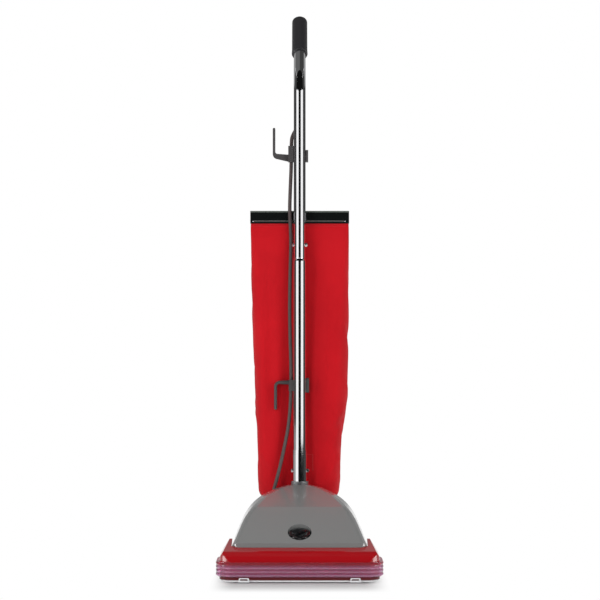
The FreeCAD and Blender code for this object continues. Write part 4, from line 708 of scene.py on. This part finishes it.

# %% [markdown]
# ## The pedal's spring
# A short coil of steel wire stands under the pedal's arm and lifts it again. It is a helix
# inside the space of the frame's sleeve, with its ends flat.

# %% Coil under the pedal
coil_wire = 0.00035
coil_turns = 5
turn_points = 16
coil_low, coil_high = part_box("pedal_spring")
coil_centre = (coil_low + coil_high) / 2
coil_radius = (coil_high.x - coil_low.x) / 2 - coil_wire
coil_rise = coil_high.z - coil_low.z - 2 * coil_wire
coil_points = coil_turns * turn_points
coil_places = []
for i in range(coil_points + 1):
    share = i / coil_points
    # the first and last turns lie nearly flat
    level = 0.5 - 0.5 * math.cos(math.pi * share)
    turn = 2 * math.pi * i / turn_points
    x = coil_centre.x + coil_radius * math.cos(turn)
    y = coil_centre.y + coil_radius * math.sin(turn)
    coil_places.append((x, y, coil_low.z + coil_wire + coil_rise * level))
pedal_coil = add_object("pedal_coil", curve_mesh("coil_line", "POLY", coil_places, coil_wire, 2))
smooth(pedal_coil, 60)
dress(pedal_coil, zinc_steel)
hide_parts("pedal_spring")
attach(pedal_coil, "base")
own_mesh(pedal_coil)
print("pedal coil", len(pedal_coil.data.vertices), "points,", round(coil_rise * 1000, 2), "mm rise")

# %% [markdown]
# ## The cloth bag
# The dust bag is two widths of tight cotton cloth sewn down the sides. It hangs from a thick hem
# in the clamp bar, opens towards its foot and gathers there on to the duct. Its front stays
# nearly flat behind the tube, with long soft folds that start under the hem and deepen towards
# the foot. A tube of quads is laid ring by ring along the bag's outline, and each point is moved
# in or out by folds that run down the cloth.

# %% Outline of the bag, level by level
# height, half width on the left and on the right, how far its front and its rear lie behind
# the tube's axis, and corner, all in metres
bag_outline = [
    (0.7465, 0.1076, 0.1076, 0.0209, 0.0247, 0.0018),
    (0.7360, 0.1079, 0.1080, 0.0192, 0.0264, 0.0034),
    (0.7100, 0.1074, 0.1084, 0.0180, 0.0342, 0.0080),
    (0.6400, 0.1064, 0.1086, 0.0240, 0.0607, 0.0160),
    (0.5200, 0.1040, 0.1080, 0.0268, 0.0804, 0.0240),
    (0.4100, 0.0998, 0.1060, 0.0270, 0.0940, 0.0280),
    (0.3500, 0.0968, 0.1034, 0.0270, 0.0990, 0.0290),
    (0.2900, 0.0940, 0.0965, 0.0270, 0.1028, 0.0300),
    (0.2500, 0.0928, 0.0920, 0.0270, 0.1046, 0.0305),
    (0.2000, 0.0920, 0.0898, 0.0270, 0.1060, 0.0310),
    (0.1720, 0.0906, 0.0882, 0.0280, 0.1050, 0.0320),
    (0.1460, 0.0852, 0.0838, 0.0330, 0.1020, 0.0330),
    (0.1260, 0.0618, 0.0618, 0.0417, 0.1052, 0.0300),
    (0.1130, 0.0330, 0.0330, 0.0502, 0.1037, 0.0250),
    (0.1060, 0.0236, 0.0236, 0.0534, 0.1006, 0.0235),
    (0.0925, 0.0232, 0.0232, 0.0538, 0.1002, 0.0231),
]
around = 360
down = 280


def outline_at(height):
    """The bag's two half widths, front, rear and corner at a height, on a smooth curve."""
    last = len(bag_outline) - 2
    for i in range(last + 1):
        upper, lower = bag_outline[i], bag_outline[i + 1]
        if height < lower[0] and i < last:
            continue
        share = min(max((upper[0] - height) / (upper[0] - lower[0]), 0.0), 1.0)
        before = bag_outline[max(i - 1, 0)]
        after = bag_outline[min(i + 2, last + 1)]
        span = upper[0] - lower[0]
        values = []
        for a, b, c, d in zip(before[1:], upper[1:], lower[1:], after[1:]):
            leave = (c - a) / max(before[0] - lower[0], 1e-6) * span
            arrive = (d - b) / max(upper[0] - after[0], 1e-6) * span
            s2, s3 = share * share, share**3
            values.append(
                b * (2 * s3 - 3 * s2 + 1) + leave * (s3 - 2 * s2 + share)
                + c * (3 * s2 - 2 * s3) + arrive * (s3 - s2)
            )
        return values


def ring_point(share, left, right, front, rear, corner):
    """A point of the rounded outline at a share of its way round, and the way out there."""
    half = (left + right) / 2
    shift = Vector(((right - left) / 2, 0))
    corner = min(corner, half, (rear - front) / 2)
    wide = 2 * (half - corner)
    deep = rear - front - 2 * corner
    arc = math.pi * corner / 2
    place = share * (2 * wide + 2 * deep + 4 * arc)
    runs = [
        (wide, Vector((-half + corner, front)), Vector((1, 0)), Vector((0, -1))),
        (arc, Vector((half - corner, front + corner)), None, -90),
        (deep, Vector((half, front + corner)), Vector((0, 1)), Vector((1, 0))),
        (arc, Vector((half - corner, rear - corner)), None, 0),
        (wide, Vector((half - corner, rear)), Vector((-1, 0)), Vector((0, 1))),
        (arc, Vector((-half + corner, rear - corner)), None, 90),
        (deep, Vector((-half, rear - corner)), Vector((0, -1)), Vector((-1, 0))),
        (arc, Vector((-half + corner, front + corner)), None, 180),
    ]
    for length, origin, along, out in runs:
        last = origin is runs[-1][1]
        if place <= length or last:
            if along is not None:
                return origin + along * place + shift, out
            angle = math.radians(out + 90 * min(place / arc, 1))
            way = Vector((math.cos(angle), math.sin(angle)))
            return origin + way * corner + shift, way
        place -= length


print("the cloth hangs from", bag_top, "to", bag_foot)

# %% [markdown]
# The folds are long waves that wander a little as they run down. Near the hem the cloth is held
# flat, so their depth grows from nothing there and is greatest in the lower half. The front
# sinks into one long valley behind the tube, slack creases run down from its edges, and broad
# folds with creases across them stand out of the back. Each side has a sewn seam and slanting
# creases. Where the throat is drawn on to the duct, short sharp gathers take over.

# %% Folds and gathers
front_folds = [
    # place across the front, width, depth, and the height where the fold is deepest
    (-0.086, 0.009, 0.0016, 0.36),
    (-0.070, 0.011, -0.0022, 0.42),
    (-0.052, 0.012, 0.0024, 0.30),
    (-0.033, 0.009, -0.0018, 0.26),
    (0.032, 0.008, 0.0026, 0.34),
    (0.058, 0.014, -0.0018, 0.46),
    (0.084, 0.010, 0.0018, 0.26),
]
slack_creases = [
    # from (x, z) to (x, z), half width and depth
    ((0.112, 0.352), (0.060, 0.296), 0.0075, 0.0034),
    ((0.100, 0.318), (0.066, 0.276), 0.0060, -0.0026),
    ((-0.100, 0.262), (-0.052, 0.196), 0.0080, 0.0022),
    ((0.088, 0.232), (0.046, 0.166), 0.0070, 0.0022),
]
# how deep the rear folds are at each height
rear_fold_depth = [(0.736, 0.0), (0.64, 0.0030), (0.52, 0.0056), (0.30, 0.0066), (0.20, 0.0050), (0.13, 0.0)]
rear_creases = [
    ((-0.098, 0.560), (-0.018, 0.470), 0.0090, -0.0034),
    ((0.100, 0.470), (0.024, 0.372), 0.0100, -0.0038),
    ((-0.094, 0.330), (-0.030, 0.262), 0.0080, -0.0030),
    ((0.086, 0.262), (0.030, 0.196), 0.0075, -0.0026),
]
side_creases = [
    # side, from (y behind the tube, z) to (y, z), half width and depth
    (1, (0.034, 0.640), (0.060, 0.560), 0.0070, -0.0022),
    (1, (0.048, 0.505), (0.090, 0.430), 0.0085, -0.0032),
    (1, (0.036, 0.400), (0.078, 0.335), 0.0080, 0.0028),
    (1, (0.052, 0.296), (0.098, 0.232), 0.0085, -0.0032),
    (1, (0.036, 0.236), (0.066, 0.176), 0.0070, 0.0024),
    (-1, (0.064, 0.610), (0.038, 0.530), 0.0075, -0.0024),
    (-1, (0.088, 0.470), (0.044, 0.400), 0.0085, -0.0032),
    (-1, (0.080, 0.352), (0.040, 0.300), 0.0075, 0.0026),
    (-1, (0.096, 0.284), (0.050, 0.214), 0.0085, -0.0030),
]
# the seam down each side: its place behind the tube at one level, its slant, width and height
seam_place, seam_level, seam_slant = 0.049, 0.64, 0.036
seam_width, seam_rise = 0.0022, 0.0009
hem_end = 0.735
valley_x, valley_width = 0.002, 0.024
rear_fold_pitch = 0.4
gather_z, gather_reach, gather_count = 0.122, 0.020, 34


def blend_down(levels, height):
    """A value between the levels of a table that runs downwards, blended evenly."""
    if height >= levels[0][0]:
        return levels[0][1]
    for (upper, a), (lower, b) in zip(levels, levels[1:]):
        if height >= lower:
            return a + (b - a) * (upper - height) / (upper - lower)
    return levels[-1][1]


def crease_depth(across, height, start, end, width):
    """How much of a slack crease a point of the cloth takes up, from 0 to 1."""
    along = Vector(end) - Vector(start)
    here = Vector((across, height)) - Vector(start)
    share = here.dot(along) / along.length_squared
    aside = abs(here.x * along.y - here.y * along.x) / along.length
    fade = math.exp(-((max(0.0, -share, share - 1) * 3) ** 2)) * (0.35 + 0.65 * min(max(1 - share, 0), 1))
    return fade * math.exp(-((aside / width) ** 2))


def fold_depth(x, y, height, way, half):
    """How far a point of the cloth stands out of the smooth outline."""
    hang = min(1.0, max(0.0, (hem_end - height) / 0.10))
    depth = 0.0
    if way.y < -0.02:
        for place, width, deep, peak in front_folds:
            wander = 0.005 * math.sin(9 * height + 40 * place)
            near = math.exp(-(((x - place - wander) / width) ** 2))
            tall = math.exp(-(((height - peak) / 0.22) ** 2))
            depth += deep * near * tall
        for start, end, width, deep in slack_creases:
            depth += deep * crease_depth(x, height, start, end, width)
        valley = math.exp(-(((x - valley_x) / valley_width) ** 2))
        depth -= (0.0050 + 0.0030 * math.exp(-(((height - 0.36) / 0.2) ** 2))) * valley
        depth *= -way.y
    elif way.y > 0.02:
        wave = math.cos(math.pi * (x / half - 0.6 + 0.05 * math.sin(8 * height)) / rear_fold_pitch)
        depth += blend_down(rear_fold_depth, height) * wave
        for start, end, width, deep in rear_creases:
            depth += deep * crease_depth(x, height, start, end, width)
        depth *= way.y
    from_seam = y - tube_y - seam_place - seam_slant * (seam_level - height)
    sideways = seam_rise * math.exp(-((from_seam / seam_width) ** 2))
    for side, start, end, width, deep in side_creases:
        if side * way.x > 0:
            sideways += deep * crease_depth(y - tube_y, height, start, end, width)
    depth += way.x**2 * sideways
    soft = noise.noise(Vector((x * 20, y * 20, height * 6)))
    fine = noise.noise(Vector((x * 55, y * 55, height * 30)))
    return hang * (depth + 0.0016 * soft + 0.0005 * fine)


def gather_depth(share, height):
    """Short pleats where the throat is drawn on to the duct."""
    drawn = math.exp(-(((height - gather_z) / gather_reach) ** 2))
    return 0.0016 * drawn * math.sin(2 * math.pi * gather_count * share)


def cloth_point(share, height):
    """The cloth's outer face at a share of the way round and a height, and the way out there."""
    left, right, front, rear, corner = outline_at(height)
    spot, way = ring_point(share, left, right, tube_y + front, tube_y + rear, corner)
    out = fold_depth(spot.x, spot.y, height, way, (left + right) / 2) + gather_depth(share, height)
    spot = spot + way * out
    return Vector((spot.x, spot.y, height)), way


def cloth_tube(name, heights):
    """A tube of quads along the bag's outline between the given heights."""
    points = [cloth_point(i / around, height)[0] for height in heights for i in range(around)]
    faces = []
    for a in range(0, (len(heights) - 1) * around, around):
        b = a + around
        for i in range(around):
            j = (i + 1) % around
            faces.append((a + i, b + i, b + j, a + j))
    return make_solid_mesh(name, points, faces)


throat_rows = 90
bag_heights = [bag_top - (bag_top - bag_foot) * i / down for i in range(down + 1)]
throat_heights = [bag_foot - (bag_foot - throat_foot) * i / throat_rows for i in range(throat_rows + 1)]
cloth_bag = cloth_tube("cloth_bag", bag_heights)
cloth_throat = cloth_tube("cloth_throat", throat_heights)
for cloth in (cloth_bag, cloth_throat):
    add_modifier(cloth, "SOLIDIFY", thickness=0.0011, offset=-1)
    smooth(cloth, 60)

# %% [markdown]
# Two rows of lock stitches hold the hem, and a tape is sewn behind the tube from the foot up.
# Each stitch is one small round-ended stroke that lies on the cloth. They are laid along the
# same outline as the cloth, so they follow its folds.


# %% Stitches and tape
def stitch_row(name, marks, length, radius):
    """Short strokes on the cloth, one for each (share, height, upright) mark, as one piece."""
    points = []
    faces = []
    sides = 6
    for share, height, upright in marks:
        spot, way = cloth_point(share, height)
        out = Vector((way.x, way.y, 0)).normalized()
        run = Vector((0, 0, 1)) if upright else Vector((-out.y, out.x, 0))
        across = out.cross(run)
        start = len(points)
        for along, swell in ((-0.5, 0.35), (-0.3, 1.0), (0.3, 1.0), (0.5, 0.35)):
            for k in range(sides):
                a = 2 * math.pi * k / sides
                ring = (out * math.cos(a) + across * math.sin(a)) * radius * swell
                points.append(spot + run * (along * length) + ring)
        faces.extend(rod_faces(start, 4, sides))
    return dress(smooth(make_solid_mesh(name, points, faces), 50), thread_red)


thread_red = hard_finish("thread_red", (0.60, 0.03, 0.035), (0.68, 0.05, 0.05), (0.5, 0.6), wear=0.0)
hem_count = 120
hem_marks = []
for hem_height, offset in ((0.7435, 0.0), (0.7405, 0.5)):
    for i in range(hem_count):
        hem_marks.append(((i + offset) / hem_count, hem_height, False))
hem_stitches = stitch_row("hem_stitches", hem_marks, 0.0026, 0.00035)
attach(hem_stitches, "handle")


def share_at(x, height):
    """The share of the way round at which the cloth's front lies at a given X."""
    left, right, front, rear, corner = outline_at(height)
    half = (left + right) / 2
    corner = min(corner, half, (rear - front) / 2)
    way_round = 4 * (half - corner) + 2 * (rear - front - 2 * corner) + 2 * math.pi * corner
    return (x - (right - left) / 2 + half - corner) / way_round


tape_pitch = 0.0032
tape_side = 0.0290
tape_foot = 0.2040
tape_top = 0.2380
tape_marks = []
for i in range(11):
    height = tape_foot + i * tape_pitch
    tape_marks.append((share_at(tape_side, height), height, True))
for i in range(8):
    tape_marks.append((share_at(0.0280 - i * tape_pitch, tape_top), tape_top, False))
tape_stitches = stitch_row("tape_stitches", tape_marks, 0.0031, 0.00045)
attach(tape_stitches, "handle")
print("stitches", len(hem_marks) + len(tape_marks))

# %% [markdown]
# ## Red cotton cloth
# Up close the cloth is a plain weave of nine threads to the centimetre, with slubs where the
# yarn is thicker. Two crossed waves make the threads: one runs round the bag, over X and Y
# together, and the other over its height. A little sheen lifts the edges of the folds, as
# fibres do.


# %% Woven cloth
def woven_finish(name, colour, dark, threads):
    """Plain-weave cloth in two near colours, with a number of threads to the metre."""
    material, tree, principled = new_material(name)
    axes = place_axes(tree)
    waves = []
    for run in (calculate(tree, "ADD", axes["X"], axes["Y"]), axes["Z"]):
        turns = calculate(tree, "MULTIPLY", run, threads * 2 * math.pi)
        waves.append(calculate(tree, "SINE", turns))
    weave = calculate(tree, "MULTIPLY", *waves)
    slubs = use_group(tree, uneven, Scale=14, Contrast=1.4)
    shade = calculate(tree, "MULTIPLY_ADD", weave, 0.12, slubs, clamp=True)
    feed(tree, principled, {
        "Roughness": 0.82, "Sheen Weight": 0.08, "Sheen Roughness": 0.5, "Specular IOR Level": 0.12,
        "Base Color": mix_colours(tree, shade, (*colour, 1), (*dark, 1)),
        "Normal": bump_normal(tree, weave, 0.35, 0.0003),
    })
    return material


red_cotton = woven_finish("red_cotton", (0.62, 0.007, 0.014), (0.50, 0.005, 0.011), 900)
for cloth in (cloth_bag, cloth_throat):
    dress(cloth, red_cotton)
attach(cloth_bag, "handle")
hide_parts("dust_bag")
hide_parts("bag_throat")
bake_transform(cloth_throat)
print("woven cloth on", cloth_bag.name, "and", cloth_throat.name)

# %% [markdown]
# ## Studio
# The machine stands on a pale floor that melts into a white background. Polished tubes show
# only what surrounds them, so the room is built for them: dark screens stand all round, with
# one tall gap on each side of the camera. The white world seen through the two gaps draws the
# pair of bright stripes down each tube, and the screens give the dark middle and edges. Paler
# screens behind and two bright cards on the floor serve the hood, the nozzle and the guard.
# Only mirrors see the screens and cards, so they darken nothing else.


# %% Floor and background
def seen_directly(tree):
    """A value of 1 for camera, mirror and see-through rays, and 0 for soft light."""
    rays = add_node(tree, "LightPath")
    seen = calculate(tree, "ADD", rays["Is Camera Ray"], rays["Is Glossy Ray"])
    return calculate(tree, "ADD", seen, rays["Is Transmission Ray"], clamp=True)


def studio_floor():
    """A pale floor that turns into plain white away from the machine. The grey box round the machine is sized
    to the shadow's reach, so it is partly painted shadow over the rendered one.
    """
    floor = start_from(bpy.ops.mesh.primitive_plane_add, "studio_floor", size=60, location=(0, 0, -0.0005))
    material, tree, principled = new_material("floor_white_painted_shadow")
    feed(tree, principled, {"Base Color": (0.66, 0.67, 0.67, 1), "Roughness": 0.9, "Specular IOR Level": 0.1})
    place = add_node(tree, "TexCoord")["Object"]
    apart = add_node(tree, "VectorMath", {0: place}, operation="ABSOLUTE")["Vector"]
    split = add_node(tree, "SeparateXYZ", {"Vector": apart})
    near = []
    # painted shadow, in part: the floor stays grey only inside a box sized to the machine's shadow
    for axis, start, end in (("X", 0.130, 0.186), ("Y", 0.262, 0.375)):
        near.append(ramp(tree, split[axis], start, end, 1.0, 0.0, interpolation_type="SMOOTHSTEP"))
    away = calculate(tree, "SUBTRACT", 1.0, calculate(tree, "MULTIPLY", *near))
    white = calculate(tree, "MULTIPLY", seen_directly(tree), away)
    glow = add_node(tree, "Emission")["Emission"]
    mixed = add_node(tree, "MixShader", {"Fac": white, 1: principled.outputs["BSDF"], 2: glow})
    feed(tree, tree.nodes["Material Output"], {"Surface": mixed["Shader"]})
    dress(floor, material)


def studio_world(level):
    """Soft grey light from all round, seen as white by the camera and in mirrors."""
    world = bpy.data.worlds.new("studio_world")
    bpy.context.scene.world = world
    world.use_nodes = True
    tree = world.node_tree
    tree.nodes.clear()
    shaders = {"Fac": seen_directly(tree)}
    for entry, strength in ((1, level), (2, 1.0)):
        glow = {"Color": (1, 1, 1, 1), "Strength": strength}
        shaders[entry] = add_node(tree, "Background", glow)["Background"]
    mixed = add_node(tree, "MixShader", shaders)["Shader"]
    add_node(tree, "OutputWorld", {"Surface": mixed})


world_level = 0.62
studio_floor()
studio_world(world_level)
print("world level", world_level)


# %% [markdown]
# ## Lamps and screens
# The lamps light the cloth and the dull plastic and stay out of mirrors, and the screens and
# cards are what mirrors see. Kept apart like this, the shading of the bag and the stripes on
# the tubes can be set one after the other. A lamp that mirrors saw would put a hard white
# patch on the hood.

# %% Lights and screens
def soft_light(name, place, target, width, height, power):
    """A large rectangular light that points at a target and is left out of mirrors."""
    data = bpy.data.lights.new(name, "AREA")
    data.shape = "RECTANGLE"
    data.size = width
    data.size_y = height
    data.energy = power
    lamp = add_object(name, data)
    lamp.location = place
    lamp.rotation_euler = (Vector(target) - Vector(place)).to_track_quat("-Z", "Y").to_euler()
    lamp.visible_camera = False
    lamp.visible_glossy = False


def screen_finish(name, level):
    """The finish of a screen or card: a plain glow, so that it looks the same from anywhere."""
    material, tree, _ = new_material(name)
    glow = add_node(tree, "Emission", {"Strength": level})["Emission"]
    feed(tree, tree.nodes["Material Output"], {"Surface": glow})
    return material


def screen(name, corners, material):
    """A four-cornered screen that only mirrors can see."""
    card = make_solid_mesh(name, corners, [(0, 1, 2, 3)])
    dress(card, material)
    for kind in ("camera", "diffuse", "shadow", "transmission"):
        setattr(card, "visible_" + kind, False)


def ring_spot(angle, reach):
    """A point round the tube, at an angle from the camera's side."""
    a = math.radians(angle)
    return reach * math.sin(a), tube_y - reach * math.cos(a)


wall_reach = 5.2
wall_top = 4.5
above_floor = 0.0005


def wall_screen(name, from_angle, to_angle, low, high, material):
    """An upright screen between two angles round the tube."""
    (x0, y0), (x1, y1) = ring_spot(from_angle, wall_reach), ring_spot(to_angle, wall_reach)
    screen(name, [(x0, y0, low), (x1, y1, low), (x1, y1, high), (x0, y0, high)], material)


def floor_screen(name, from_angle, to_angle, near, far, material):
    """A screen that lies on the floor between two angles and two distances from the tube."""
    corners = [(from_angle, near), (to_angle, near), (to_angle, far), (from_angle, far)]
    screen(name, [(*ring_spot(angle, reach), above_floor) for angle, reach in corners], material)


soft_light("left_light", (-2.2, -2.2, 0.75), (0, 0.1, 0.5), 1.4, 1.4, 36)
soft_light("right_light", (2.2, -2.2, 0.75), (0, 0.1, 0.5), 1.4, 1.4, 28)
soft_light("top_light", (0, 0.1, 3.0), (0, 0, 0.3), 2.0, 2.0, 12)
soft_light("back_light", (2.4, 2.3, 1.3), (0, 0.15, 0.5), 1.0, 1.6, 26)
black = screen_finish("screen_black", 0.006)
dim = screen_finish("screen_dim", 0.05)
grey = screen_finish("screen_grey", 0.12)
pale = screen_finish("screen_pale", 0.32)
corner_white = screen_finish("card_corner", 10.0)
wall_screen("front_screen", -22, 22, 0.0, wall_top, black)
floor_screen("front_floor_screen", -22, 22, 1.3, wall_reach, black)
floor_screen("socket_screen", 22, 66, 1.1, 3.9, black)
floor_screen("left_floor_screen", -112, -66, 0.9, wall_reach, pale)
floor_screen("right_floor_screen", 66, 112, 0.9, wall_reach, dim)
wall_screen("back_screen", 146, 214, 0.0, wall_top, pale)
for side, name in ((-1, "left"), (1, "right")):
    floor_screen(f"{name}_corner_card", side * 44, side * 68, 0.55, 1.05, corner_white)
    wall_screen(f"{name}_high_screen", side * 22, side * 66, 1.9, wall_top, black)
    wall_screen(f"{name}_side_screen", side * 66, side * 112, 0.0, wall_top, dim)
    wall_screen(f"{name}_rear_screen", side * 112, side * 146, 0.0, 1.8, dim)
    wall_screen(f"{name}_ridge_card", side * 112, side * 146, 1.8, wall_top, pale)
    floor_screen(f"{name}_rear_floor_screen", side * 112, side * 150, 0.6, wall_reach, dim)
roof = 4.4
for name, x0, x1, y0, y1, material in (
    ("front_roof", -4.4, 4.4, -5.4, -1.4, black),
    ("left_roof", -4.4, 0.1, -1.4, 4.8, grey),
    ("right_roof", 0.1, 4.4, -1.4, 4.8, dim),
):
    screen(name, [(x0, y0, roof), (x1, y0, roof), (x1, y1, roof), (x0, y1, roof)], material)
print("screens", wall_reach, "m from the tube")

# %% Update the scene
bpy.context.view_layer.update()
